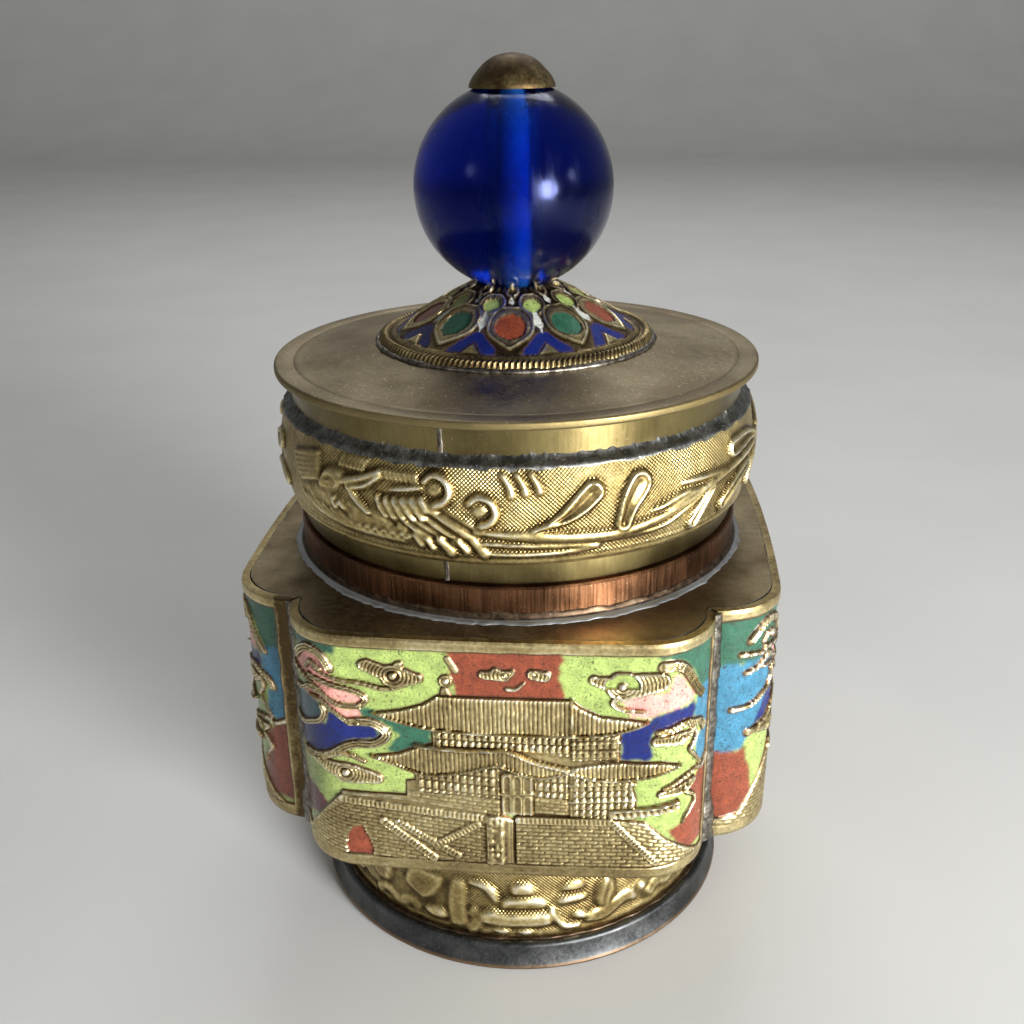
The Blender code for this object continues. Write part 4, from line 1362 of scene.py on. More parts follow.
        # Lower roof in three parts: left wing, gable and right wing
        left_wing = [(-16.7, 18.6), (-13, 17.3), (-9.3, 16.1), (-5, 16.6), (-0.8, 17.9), (1.2, 18.2)]
        sheet.plate([*left_wing, (1.2, 20.2), (-3, 20.4), (-8.6, 20.9), (-10.4, 20.4), (-13, 19.2)], 0.32,
                    0.12, ribs(0.58))
        gable = [(0.2, 18.2), (3.4, 16.9), (6, 16.4), (8.4, 16.9), (10.4, 17.6)]
        sheet.plate([*gable, (8.2, 18), (5, 19), (2.4, 20.2), (1, 20.5)], 0.4, 0.2, ribs(0.56))
        right_wing = [(9.2, 17.4), (12.2, 16.5), (15.2, 16.2), (19, 16.6), (22, 17.3), (24.4, 18)]
        sheet.plate([*right_wing, (21.8, 18.9), (16.4, 19.1), (12.4, 18.6), (9.4, 17.9)], 0.36, 0.14,
                    ribs(0.56))
        for eave in (left_wing, gable, right_wing):
            sheet.line(curve(eave), 0.62, 0.6, (0.5, 0.6))
        sheet.line(curve([(-10.6, 20.6), (-4, 20.2), (0.6, 20.4), (2, 20.2), (5, 18.8), (9.4, 17.7)]),
                   0.5, 0.62)
        # Upper storey
        sheet.plate([(-8.3, 20.6), (-8.3, 22.9), (9.8, 22.9), (9.8, 19.6), (3, 20.3), (0.5, 20.7)], 0.28,
                    0.04, panes(0.88, 1.28, 20.4, -0.02))
        sheet.plate([(9.9, 19), (9.9, 23), (16.2, 23.2), (16.2, 19.4)], 0.3, 0.1,
                    panes(0.88, 1.34, 19.0, 0.05))
        for level in (20.4, 21.7):
            sheet.line([(9.9, level), (16.2, level + 0.45)], 0.36, 0.32)
        # Upper roof
        eave = [(-16, 25.3), (-13, 24.3), (-9, 23.4), (-4, 23), (4, 22.9), (11, 23), (15, 23.4), (18, 24.3),
                (19.8, 25.2)]
        sheet.plate([*eave, (17, 25.6), (13.6, 26), (11.2, 27.2), (9.8, 28.4), (-7.4, 28.4), (-9.4, 27),
                     (-12.4, 26.0)], 0.34, 0.12, ribs(0.58))
        sheet.line(curve(eave), 0.66, 0.6, (0.5, 0.6))
        sheet.line([(9.9, 28.2), (10.1, 23.2)], 0.5, 0.55)

    def draw_terrace(self, sheet: Canvas) -> None:
        """Raises the brick terrace with its stairs, its rails and the pillar between its halves.

        Args:
            sheet: the drawing.
        """
        sheet.plate([(-34, 1.8), (-34, 3), (-29, 3.4), (-26.8, 5.8), (-21.6, 11.8), (-1.2, 10), (-1.2, 1.8)],
                    0.12, -0.05, courses(0.62, 1.5, -0.12))
        sheet.enamel([(-21.2, 1.8), (-21, 4.8), (-19.9, 6.6), (-18.6, 6.7), (-17.7, 5), (-17.3, 1.8)],
                     Enamel.RED, 0.15)
        sheet.plate([(2.4, 1.8), (2.4, 9.6), (15.2, 9.6), (21.6, 1.8)], 0.12, -0.05, courses(0.62, 1.6))
        sheet.plate([(15.2, 9.8), (19.9, 9.4), (23, 6.2), (27.2, 3.2), (30, 1.8), (21.4, 1.8)], 0.14,
                    -0.03, courses(0.62, 1.5, -0.22))
        sheet.plate([(-21.8, 10.8), (-21.2, 12.5), (-12, 12.6), (-1.4, 10.9), (-1.4, 9.4)], 0.06)
        sheet.ticks((-21.2, 11.2), (-1.4, 9.4), 1.3, 0.62, 0.3)
        sheet.line([(-21, 12.2), (-12.2, 11.9), (-1.6, 10.5)], 0.4, 0.2)
        sheet.ticks((3.0, 9.4), (15.0, 9.4), 1.4, 0.6, 0.28)
        sheet.ticks((15.6, 10.7), (24.2, 11.5), 1.4, 0.9, 0.36)
        sheet.line([(15.2, 11.2), (24.4, 12.1)], 0.5, 0.5)
        for start, end, width in (((-15.6, 8), (-8.8, 2.4), 1.3), ((-13.6, 8), (-5.4, 3), 1.1),
                                  ((-2.6, 8.4), (-8.4, 4.6), 1.2), ((15.2, 9.6), (21.4, 2.6), 1.1)):
            sheet.ticks(start, end, width, 0.56, 0.3)
        pillar = [(-1.6, 1.8), (-1.6, 9.2), (-1, 10.2), (0.6, 10.2), (2.4, 9.2), (2.4, 1.8)]
        sheet.plate(pillar, 0.5, 0.0,
                    lambda x, y: (eased((1.5 - x) / 1.0) * (0.8 + 0.3 * grain(x, y, 0.45, 31))
                                  + 0.25 * np.abs(np.cos(math.pi * x / 0.75))), 0.4)

    def draw_clouds(self, sheet: Canvas) -> None:
        """Raises the clouds, their pearls and their trailing lines.

        Args:
            sheet: the drawing.
        """
        # Left of the roof, with a tail that runs into the pink cloud
        sheet.sweep([(-10.9, 30.2), (-12.2, 29.4), (-14.4, 28.9), (-17.4, 29.5), (-21, 29.9),
                     (-24.4, 30.8)], 2,
                    0.46, 0.1)
        sheet.cloud((-13.1, 30.9), [(-3.6, 1.4, 0.95, 1.35), (3.1, -0.2, 0.95, 1.75), (0.8, 1.6, 0.7, 1.2)])
        # Over the red field
        sheet.cloud((1.4, 31.6), [(-2.7, 0.1, 0.75, 0.9), (0.9, 0.5, 0.6, 0.9), (-1.2, 0.6, 0.7, 0.9)], 0.5,
                    eye=0.12)
        sheet.cloud((5.0, 31.9), [(0.6, -0.2, 0.65, 0.6), (1.6, -0.3, 0.8, 0.8)], 0.5, eye=0.12)
        sheet.line(curve([(1.7, 29.6), (2.8, 29.6), (3.8, 30.5)]), 0.75, 0.1, (1, 0.6))
        sheet.line([(-5.9, 33.7), (-4.9, 32.0)], 0.95, -0.08)
        sheet.plate([(-7.2, 28.2), (-6.9, 29.6), (-6, 29.8), (-5.4, 28.2)], 0.0)
        sheet.pearl((-6.2, 30.5), 0.5, 0.3)
        # Right of the roof
        sheet.cloud((16.35, 30.3), [(-3.6, 0.9, 0.75, 1.4), (4.9, 0.7, 1.35, 2.2)], 0.5, True, 0.45)
        # Lone clouds: pearl, lobes and size of the pearl
        for pearl, lobes, eye in (((24.6, 21.9), [(-3.6, 0.2, 0.8, 1.0), (1.6, 0.3, 0.6, 0.9)], 0.35),
                                  ((25.6, 13.8), [(-3.8, -0.2, 0.55, 1.05), (1.6, 0.6, 0.6, 1.0)], 0.4),
                                  ((-20.4, 15.4), [(4.4, -0.6, 0.9, 1.75), (-5.0, 1.0, 0.7, 1.5)], 0.55)):
            sheet.cloud(pearl, lobes, 0.48, eye=eye)
        # Bundles of fine lines: how many, their ends' widths, and the curve's points. On the right, under
        # the pink cloud and over it, round the blue field and down beside the red one
        for count, ends, points in (
                (2, (1, 0.5), [(15.9, 28.9), (15.2, 27.8), (16.6, 26.9), (19.2, 26.7)]),
                (4, (1, 0.6), [(21.6, 33), (23.6, 32.9), (24.9, 32), (25.8, 30.6), (27, 28.7), (28.4, 27.2)]),
                (3, (0.8, 1), [(21.2, 23.3), (23, 23.5), (25.1, 24), (26.9, 23.5), (28.5, 22.9),
                               (29.3, 21.7)]),
                (2, (1, 0.6), [(26.7, 22.7), (27.3, 21.5), (26.7, 20.3), (26.1, 19.7), (26.9, 18.6),
                               (27.9, 17.4), (28.5, 16.4)]),
                (2, (0.7, 1), [(22.2, 14.4), (23.9, 15), (25.5, 15.6), (27.7, 16), (28.9, 15.6), (31, 16.6)]),
                (2, (1, 0.5), [(26.1, 12.8), (27.3, 11.9), (27.7, 10.9), (26.9, 9.9), (25.9, 8.9),
                               (25.5, 7.9)]),
                # On the left, round the tip of the blue field
                (3, (1, 1), [(-19.4, 23.5), (-16.3, 23.6), (-14.4, 22), (-15.9, 20.4), (-18.7, 20.1),
                             (-20.4, 19.4), (-22.2, 18.1), (-24.7, 17), (-28, 16.6)]),
                (3, (1, 0.4), [(-24, 17), (-21.8, 18.2), (-19.6, 18.3), (-17.6, 17.4)]),
                # Far left, round the pink clouds and the slate field
                (3, (1, 1), [(-28.5, 31.2), (-27, 32.6), (-25, 33.6), (-22.8, 33), (-21.6, 31.2)]),
                (2, (0.8, 0.8), [(-26, 30.4), (-24.6, 31.6), (-23.1, 30.8)]),
                (2, (1, 1), [(-25.4, 29.4), (-22.4, 29), (-18.6, 28.3), (-16.9, 27.2), (-17.9, 26)]),
                (2, (1, 0.6), [(-30, 29.4), (-26, 28.8), (-23.4, 27.8)]),
                (2, (1, 0.8), [(-29, 26.4), (-26.9, 26.8), (-25.4, 27.7), (-23.4, 27.4), (-21.8, 26.4),
                               (-20.2, 25.9), (-17.7, 25.9)]),
                (2, (0.6, 1), [(-25.6, 26.3), (-23.6, 26.3), (-21.8, 25.1), (-19.6, 23.6), (-18.2, 23.4)]),
                (2, (1, 1), [(-23.4, 25.3), (-23, 24.3), (-23.8, 22.9), (-25.4, 22.1), (-27.7, 21.1),
                             (-31, 20.9)])):
            sheet.sweep(points, count, 0.44, 0.13, ends)

    def draw_border(self, sheet: Canvas) -> None:
        """Raises the plain brass border round the picture, with its wavy inner edge.

        Args:
            sheet: the drawing.
        """
        x, y = sheet.across, sheet.up
        half, tall = x.max(), y.max()
        gap = np.minimum(np.minimum(y - self.border_bottom, tall - self.border_top - y),
                         np.minimum(half - self.border_right - x, half - self.border_left + x))
        depth = 0.1 * grain(x, y, 2.6, 41) - gap
        everywhere = (slice(None), slice(None))
        edge = np.minimum(np.minimum(y, tall - y), half - np.abs(x))
        worn = -0.12 * (1.0 - eased(edge / 0.5)) + 0.02 * grain(x, y, 1.5, 42)
        sheet.lay(everywhere, depth, worn, 0.28)
        # The strip that turns into the notch is darkened, as the bare ground is
        sheet.bare = np.maximum(sheet.bare, eased((x - half + self.border_right) / 0.6))

    def build(self) -> None:
        """Builds the four panels."""
        front, other = (relief_slab("enamelled_panel_" + side, self.draw(grid), self.wall, self.bend, False)
                        for side, grid in (("front", self.front_grid), ("right", self.other_grid)))
        back = copied(other, "enamelled_panel_back", 2)
        left = copied(other, "enamelled_panel_left", 3)
        other.data.transform(Matrix.Rotation(math.pi / 2, 4, "Z"))
        for side, piece in (("front", front), ("right", other), ("back", back), ("left", left)):
            finish_piece(piece, self.finishes.enamelled, "cast_brass_and_enamel", "panel_" + side)


@dataclass
class Band:
    """An embossed tube, whose drawing is laid out by the angle round it and the height above the floor."""

    finishes: Finishes
    turn: float = 5.4
    node: str = ""

    def belly(self) -> float:
        """Radius that the drawing is laid out on."""
        raise NotImplementedError

    def at(self, degrees: float, z: float) -> Point:
        """A place on the drawing."""
        return math.radians(degrees) * self.belly(), z - height_of(self.node)

    def closed(self, *places: Point) -> list[Point]:
        """A smooth closed outline through some places, each an angle and a height."""
        return curve([self.at(*place) for place in (*places, places[0])], 3)

    def stroke(self, *places: Point) -> list[Point]:
        """A smooth path through some places, each an angle and a height."""
        return curve([self.at(*place) for place in places])

    def wrapped(self, across: Array, up: Array, reach: Array) -> Places:
        """x, y and z of places on the drawing, at a distance from the axis."""
        angle = across / self.belly() + math.radians(self.turn)
        return reach * np.sin(angle), -reach * np.cos(angle), up + height_of(self.node)


@dataclass
class Foot(Band):
    """The foot: a flared skirt, and on its ledge an embossed tube of treasures tied with ribbons."""

    node: str = "foot_band"
    radius: float = 31.0
    wall: float = 1.0
    skirt_rim: float = 33.4
    skirt_shoulder: float = 32.6
    skirt_height: float = 4.1
    skirt_wall: float = 1.0
    pictures: int = 3
    grid: tuple[int, int] = (241, 67)

    def belly(self) -> float:
        """Radius that the drawing is laid out on."""
        return self.radius

    def skirt(self) -> list[Point]:
        """Profile of the skirt.

        Returns:
            Its points.
        """
        rim, shoulder, high = self.skirt_rim, self.skirt_shoulder, self.skirt_height
        inner = self.radius - self.wall
        under = high - self.skirt_wall
        return [*rounded((rim - 0.35, 0.35), 0.35, -90, 20), (rim - 0.18, 0.8), (shoulder + 0.08, 2.6),
                *rounded((shoulder - 0.7, high - 0.7), 0.7, 0, 90, 6), (self.radius + 0.1, high),
                (inner, high), (inner, under), (shoulder - 1.7, under), (rim - 1.5, 0.0)]

    def draw(self) -> Canvas:
        """Draws the tube, one third of it and then three side by side.

        Returns:
            The drawing.
        """
        tall, half = height_of(self.node, 1) - height_of(self.node), math.pi * self.radius / self.pictures
        sheet = Canvas.blank(-half, half, tall, self.grid)
        sheet.height[:] = 0.05 * grain(sheet.across, sheet.up, 2.0, 51)
        self.draw_vase(sheet)
        self.draw_ribbons(sheet)
        for high in (0.5, tall - 0.5):
            sheet.line([(-half, high), (half, high)], 0.9, 0.12, floor=0.0)
        sheet.height = sheet.blurred(sheet.height, 2)
        return sheet.tiled(self.pictures)

    def raised(self, sheet: Canvas, shapes: Sequence) -> None:
        """Raises shapes: each a height, a lower one, a pattern, the width of its edge, and its outline."""
        for high, low, pattern, edge, *outline in shapes:
            sheet.plate(self.closed(*outline), high, low, pattern, edge)

    def draw_vase(self, sheet: Canvas) -> None:
        """Raises the covered vase in the middle, and the sash beside it.

        Args:
            sheet: the drawing.
        """
        self.raised(sheet, (
            (0.78, None, None, 1.0, (-12.6, 6.4), (-13, 8.6), (-9.4, 9.8), (-5, 9.4), (4.6, 9.4), (7.6, 9),
             (8.4, 7), (5.6, 6), (-6, 6)),
            (0.72, None, None, 0.7, (-6.6, 9.6), (-6.4, 11.4), (-3.4, 12.2), (2.4, 12.2), (5.6, 11.4),
             (5.8, 9.6)),
        ))
        for k in range(8):
            sheet.pearl(self.at(-5.2 + 1.35 * k, 10.1), 0.3, 0.85)
        self.raised(sheet, (
            (0.8, 0.45, ribs(0.72), 0.6, (-3.8, 12.2), (-3.9, 13.6), (-2.4, 14.6), (1.4, 14.6), (3, 13.6),
             (2.8, 12.2)),
            *[(0.55, None, None, 0.5, (angle - 3.0, z - 0.2), (angle - 1.4, z + 0.7), (angle + 1.8, z + 0.6),
               (angle + 2.4, z - 0.5), (angle, z - 0.7)) for angle, z in ((-6.5, 5.4), (0.0, 5.3))],
        ))
        sashes = [((-14.6 + 1.2 * k, 14.0 + 0.1 * k), (-11.0 + 1.2 * k, 13.2), (-7.6, 10.8 + 0.5 * k))
                  for k in range(3)]
        for width, high, places in (*[(0.75, 0.62, sash) for sash in sashes],
                                    (1.2, 0.66, ((7.4, 9.2), (8.8, 7.4), (11.2, 5.8), (15, 5.6)))):
            sheet.line(self.stroke(*places), width, high, (1.0, 0.6), 0.0)

    def draw_ribbons(self, sheet: Canvas) -> None:
        """Raises the scrolls, the shell, the fan and the ribbons round the vase.

        Args:
            sheet: the drawing.
        """
        at = self.at
        self.raised(sheet, (
            (0.7, 0.3, lambda x, y: np.abs(np.cos(math.pi * (y + 0.2 * x) / 1.0)), 0.5, (9.4, 12.6),
             (11.4, 14), (15, 14.2), (17.4, 12.9), (13.4, 12.2)),
            (0.78, None, None, 0.8, (8.4, 10.6), (9.6, 11.7), (14.4, 12), (17.6, 11.3), (17.4, 10.2),
             (10.2, 9.9)),
            (0.78, 0.35, ribs(1.15, 0.25), 0.7, (19.4, 9.8), (20.4, 12.4), (22.8, 13.8), (25.4, 12.8),
             (26.2, 10.2), (24.4, 8), (21, 7.8)),
            (0.78, None, None, 0.8, (12.4, 7.6), (14, 8.7), (17, 8.2), (19, 6.8), (15.6, 6.4)),
        ))
        for k in range(4):
            sheet.line(self.stroke((17.4 + 0.5 * k, 6.2 + 0.5 * k), (23.0, 6.0 + 0.6 * k),
                                   (29.0, 7.6 + 0.6 * k), (33.0, 7.2 + 0.5 * k)), 0.7, 0.66, (1.0, 0.7), 0.0)
        sheet.pearl(at(35.2, 8.8), 0.85, 0.75)
        self.raised(sheet, ((0.65, 0.3, ribs(1.2, 0.8), 0.6, (29.4, 11.4), (31.4, 14.2), (38.6, 14),
                             (41.0, 11.6), (35.0, 10.8)),))
        for angle, z in ((38, 6.6), (46, 8.6), (-57, 7)):
            sheet.sweep([at(angle, z), at(angle + 4.0, z + 1.6), at(angle + 8.0, z + 0.6),
                         at(angle + 11.0, z + 2.2)],
                        4, 0.72, 0.6, (1.0, 0.6))
        self.raised(sheet, (
            (0.7, 0.3, ribs(1, 0.9), 0.6, (-36, 10.4), (-33.6, 13.8), (-28, 14.6), (-22.8, 13.6),
             (-24.6, 10.4), (-29.4, 8.4)),
            (0.7, None, None, 0.7, (-30, 6.8), (-27, 8.2), (-22.6, 8), (-21.4, 6.2), (-26, 5.6)),
            (0.5, None, None, 0.8, (-21.6, 5), (-22, 10), (-20.2, 14.2), (-15.8, 14), (-15.6, 9),
             (-15.0, 5.2)),
        ))
        sheet.sweep([at(-15.6, 5), at(-13.4, 6.2), at(-13.6, 8), at(-15, 8.8)], 3, 0.7, 0.66,
                    (1.0, 0.7))
        self.raised(sheet, ((0.7, 0.3, ribs(1.1, -0.4), 0.6, (-52, 9.4), (-50.4, 13.2), (-44, 14),
                             (-40.0, 11.4), (-43.0, 8.0)),))
        sheet.sweep([at(-47, 5.6), at(-43, 7.2), at(-38, 6), at(-34, 7.2), at(-31, 6)], 3, 0.7,
                    0.6)

    def bend(self, across: Array, up: Array, out: Array) -> Places:
        """Bends the drawing round the tube, out being the height above its outside."""
        return self.wrapped(across, up, self.radius + out)

    def build(self) -> None:
        """Builds the skirt and the tube."""
        finish_piece(turned("flared_skirt", self.skirt()), self.finishes.tinned, "solder_coated_brass",
                     "foot_skirt")
        tube = relief_slab("embossed_foot", self.draw(), self.wall, self.bend, True)
        finish_piece(tube, self.finishes.embossed, "embossed_brass", self.node)


@dataclass
class BodyPlates:
    """The sheet floor and shoulder of the body, cross-shaped as the panels leave them, and the collar."""

    finishes: Finishes
    panels: PanelSet
    inset: float = 1.22
    # The rounded ends of the plates are struck this far inside the panels' outside
    struck: float = 0.55
    floor_thickness: float = 1.0
    shoulder_thickness: float = 1.2
    bore: float = 30.0
    collar: float = 32.9
    collar_rise: float = 4.5
    slide: float = 31.0
    slide_rise: float = 15.5
    steps: int = 384

    def outline(self) -> Callable[[Array], Array]:
        """The plates' outline.

        Returns:
            A function from an angle to the distance from the axis.
        """
        along = np.linspace(0.0, sum(self.panels.lengths()[:3]), 200)
        x, y, _ = self.panels.bend(along, along * 0.0, along * 0.0 - self.struck)
        rest = self.inset - self.struck
        x, y = x - rest * np.sign(x), y + rest
        away, turn = np.hypot(x, y), np.arctan2(x, -y)
        quarter = math.pi / 2
        return lambda angle: np.interp(np.abs((angle + quarter / 2 + math.tau) % quarter - quarter / 2), turn,
                                       away)

    def plate(self, name: str, node: str, thickness: float, hole: float = 0.0) -> None:
        """Builds a cross-shaped plate.

        Args:
            name: its name.
            node: the node that it stands for, which it is as high as.
            thickness: its thickness.
            hole: radius of its hole, if it has one.
        """
        edge, marker = self.outline(), 100.0
        high = height_of(node, 1)
        low = high - thickness
        near = hole + 2.0 if hole else 20.0
        profile = [(hole, high), (near, high), (marker, high), (marker, low),
                   *([] if hole else [(near, low)]), (hole, low)]

        def shift(x: Array, y: Array, z: Array) -> Places:
            """Draws the outer ring in to the outline."""
            away, angle = np.hypot(x, y), np.arctan2(y, x)
            away = np.where(away > marker / 2, edge(angle), away)
            return away * np.cos(angle), away * np.sin(angle), z

        made = turned(name, profile, self.steps)
        moved(made, shift)
        finish_piece(made, self.finishes.dark_sheet, "dark_sheet_brass", node)

    def build(self) -> None:
        """Builds the plates and the collar."""
        self.plate("sheet_floor", "base_plate", self.floor_thickness)
        self.plate("sheet_shoulder", "shoulder_plate", self.shoulder_thickness, self.bore)
        foot = height_of("neck_ring")
        seat, top = foot + self.collar_rise, foot + self.slide_rise
        profile = [(self.bore, foot), (self.collar, foot), (self.collar, seat - 0.25),
                   (self.collar - 0.2, seat), (self.slide, seat), (self.slide, top - 0.33),
                   (self.slide - 0.33, top), (self.bore, top)]
        finish_piece(turned("filed_collar", profile), self.finishes.copper, "filed_copper", "neck_ring")


@dataclass
class Lid(Band):
    """The lid: a plain tube, the embossed sleeve that bulges over it, and the disc that overhangs them."""

    node: str = "lid_band"
    mouth: float = 32.3
    flare: float = 0.6
    wall: float = 0.9
    height: float = 21.2
    sleeve_start: float = 3.4
    sleeve_height: float = 13.4
    sleeve_wall: float = 0.8
    bulge: float = 1.75
    seam: float = 0.3
    disc: float = 35.0
    disc_thickness: float = 1.2
    disc_land: float = 3.5
    disc_rise: float = 1.7
    disc_middle: float = 19.9
    disc_hole: float = 2.1
    engraved: float = 32.2
    grid: tuple[int, int] = (591, 80)

    def tube(self, up: float) -> float:
        """Outer radius of the tube at a height above its mouth."""
        return self.mouth + self.flare * up / self.height

    def belly(self) -> float:
        """Radius that the drawing is laid out on."""
        return self.mouth + self.bulge + 0.8

    def bend(self, across: Array, up: Array, out: Array) -> Places:
        """Bends the drawing round the sleeve.

        Args:
            across: length round it from the front.
            up: height above its foot.
            out: height above its outside, or inside it the thickness of the wall.

        Returns:
            x, y and z.
        """
        share = up / self.sleeve_height
        plain = self.tube(self.sleeve_start + up) + self.seam
        outside = plain + 0.2 + self.bulge * np.sin(math.pi * np.minimum(share * 0.86 + 0.07, 1.0)) ** 0.6
        return self.wrapped(across, up, np.where(out < -0.5, plain, outside + out))

    def draw(self) -> Canvas:
        """Draws the sleeve: one half of it and then two side by side.

        Returns:
            The drawing.
        """
        start, end = self.at(-62.0, 0.0)[0], self.at(118.0, 0.0)[0]
        sheet = Canvas.blank(start, end, self.sleeve_height, self.grid)
        sheet.height[:] = 0.05 * grain(sheet.across, sheet.up, 1.6, 61)
        self.draw_edges(sheet)
        self.draw_bird(sheet)
        self.draw_tail(sheet)
        # Thin sheet bends softly over the die
        sheet.height = sheet.blurred(sheet.height, 2)
        return sheet.tiled(2)

    def draw_edges(self, sheet: Canvas) -> None:
        """Rolls the upper edge over and beads the lower one.

        Args:
            sheet: the drawing.
        """
        x, y = sheet.across, sheet.up
        pitch, radius = 0.75, 0.36
        beads = 1.0 - ((x % pitch - pitch / 2) / radius) ** 2 - ((y - 1.35) / radius) ** 2
        sheet.height = np.where(y < 1.7, -0.1 + 0.28 * np.sqrt(np.clip(beads, 0.0, 1.0)), sheet.height)
        sheet.line([(x.min(), 0.45), (x.max(), 0.45)], 1.0, 0.12, floor=-0.1)

    def strokes(self, sheet: Canvas, width: float, high: float, ends: Point, floor: float,
                paths: Sequence[Path]) -> None:
        """Raises smooth lines of one kind, each through an angle and a height for each of its points."""
        for path in paths:
            sheet.line(self.stroke(*path), width, high, ends, floor)

    def draw_bird(self, sheet: Canvas) -> None:
        """Raises the phoenix: its body and crest, its head, and the curls and drops round its wing.

        Args:
            sheet: the drawing.
        """
        sheet.plate(self.closed((-60, 73.4), (-57, 70.8), (-48, 69.8), (-36, 69.3), (-22, 69.2), (-9, 69.4),
                                (-14, 71.4), (-28, 73.6), (-38, 74.2), (-48, 74.8)), 0.45, 0.15,
                    lambda x, y: 0.5 + 0.5 * grain(x, y, 0.9, 62), 1.2)
        self.strokes(sheet, 0.8, 0.6, (0.6, 1.0), 0.15, [
            ((-57 + 3 * k, 72.4 - 0.15 * k), (-50 + 3 * k, 70.6 - 0.12 * k),
             (-40 + 3 * k, 69.8)) for k in range(6)])
        self.strokes(sheet, 0.5, 0.62, (1.0, 1.0), 0.3, [
            ((-38.3 + 2.2 * k, 70.9), (-37.5 + 2.2 * k, 70.2), (-36.6 + 2.2 * k, 70.8)) for k in range(7)])
        # Crest, swept back from the head
        self.strokes(sheet, 1.0, 0.55, (0.6, 1.0), 0.0, [
            ((-60 + 0.7 * k, 77.2 - 0.62 * k), (-55 + 0.5 * k, 77.9 - 0.62 * k),
             (-49.0 + 0.1 * k, 78.6 - 0.62 * k))
            for k in range(6)])
        # Head, with its ringed eye, and the open beak
        sheet.plate(self.closed((-49.4, 74.5), (-47.8, 76.6), (-45, 77.9), (-41, 78.1), (-39.2, 77),
                                (-40.5, 75), (-44, 74.1), (-48, 73.9)), 0.75, edge=1.0)
        sheet.groove(self.stroke((-46.8, 75.5), (-44.6, 76.3), (-42.6, 75.7), (-44.6, 74.9), (-46.8, 75.5)),
                     0.6, 0.35)
        sheet.pearl(self.at(-44.5, 75.6), 0.3, 1.0)
        self.strokes(sheet, 1.1, 0.85, (1.1, 0.7), 0.1, [
            ((-40.4, 76.3), (-34.4, 77.5), (-30.1, 78.7)), ((-38.4, 75.8), (-33.7, 76.6), (-30.3, 78)),
            ((-37.8, 75.6), (-36.4, 74.4), (-33.2, 72.9)), ((-43.4, 73.3), (-42.6, 72.3), (-41.4, 73.2),
                                                            (-40.4, 72.5))])
        self.strokes(sheet, 0.55, 0.5, (1.0, 0.6), 0.0, [
            ((-41.4 + 1.1 * k, 78.3), (-40.9 + 1.1 * k, 79.2), (-40.0 + 1.1 * k, 79.8)) for k in range(7)])
        self.draw_wing(sheet)
        for start, end, width in (((-22.1, 70.9), (-21, 69.7), 1.0), ((-19.6, 70.6), (-18.4, 69.3), 0.8),
                                  ((-16.8, 70.8), (-14.6, 69), 1.4), ((-12.8, 70.8), (-11, 69.2), 0.9),
                                  ((-9.9, 71.3), (-7.4, 69.0), 1.4)):
            sheet.line([self.at(*start), self.at(*end)], width, 0.72, (0.8, 1.2), 0.1)
        self.draw_curl(sheet, -17.3, 77.5)
        self.draw_curl(sheet, -7.9, 75.1)
        self.strokes(sheet, 1.0, 0.55, (0.7, 1.0), 0.0, [
            ((-3.4 + 2.9 * k, 79.5 + 0.1 * k), (-2.1 + 2.9 * k, 78.3), (-1.6 + 2.9 * k, 77.1 + 0.2 * k))
            for k in range(3)])

    def draw_wing(self, sheet: Canvas) -> None:
        """Raises the wing: long plump feathers parted by grooves, and two rows of short ones over them.

        Args:
            sheet: the drawing.
        """
        sheet.plate(self.closed((-31.8, 74.4), (-30, 75.5), (-25, 76.3), (-20.4, 76.6), (-16.2, 75.7),
                                (-12.6, 74.6), (-8.4, 73.2), (-7.2, 71.8), (-9, 70.9), (-13, 70.5),
                                (-18, 70.6), (-23, 71.1), (-28, 72.2), (-31, 73.4)), 0.8, edge=0.9)
        feathers = (((-29.6, 74), (-28.7, 72.9), (-26.6, 71.6)),
                    ((-27.3, 74), (-25.7, 72.6), (-22.6, 71.1)),
                    ((-24.9, 73.9), (-21.5, 72.2), (-16.6, 70.5)),
                    ((-22.4, 74.2), (-18.3, 72.2), (-14, 70.5)),
                    ((-19.8, 74.4), (-15.2, 72.4), (-11, 70.7)),
                    ((-17.4, 75.1), (-12.6, 73.4), (-8, 71.5)))
        for points in feathers:
            sheet.groove(self.stroke(*points), 0.85, 0.75)
            sheet.groove(self.stroke(*[(degrees + 1.2, z + 0.05) for degrees, z in points]), 0.4, 0.18)
        sheet.plate(self.closed((-30.4, 76.1), (-26, 77.4), (-20.4, 78), (-20, 77.1), (-24, 76.4)), 0.65,
                    edge=0.6)
        self.strokes(sheet, 0.6, 0.55, (1.0, 0.7), 0.0, [
            ((-30.0 + 1.15 * k, 78.9), (-29.4 + 1.15 * k, 78.0)) for k in range(8)])
        for k, (rise, reach) in enumerate(((-0.1, 1), (-0.1, 1.1), (0, 1.1), (0.1, 1.1), (0.2, 1),
                                           (0.5, 1.4))):
            start = -30.6 + 2.1 * k
            upper = (start, 75.6 + rise), (start + 1.2, 75.6 + rise - reach)
            lower = (start + 1.0, 74.3 + rise), (start + 2.2, 73.2 + rise)
            for ends, width, high in ((upper, 0.8, 1.1), (lower, 0.75, 1.05))[:2 if k < 5 else 1]:
                sheet.line([self.at(*place) for place in ends], width, high, (0.8, 1.1), 0.5)

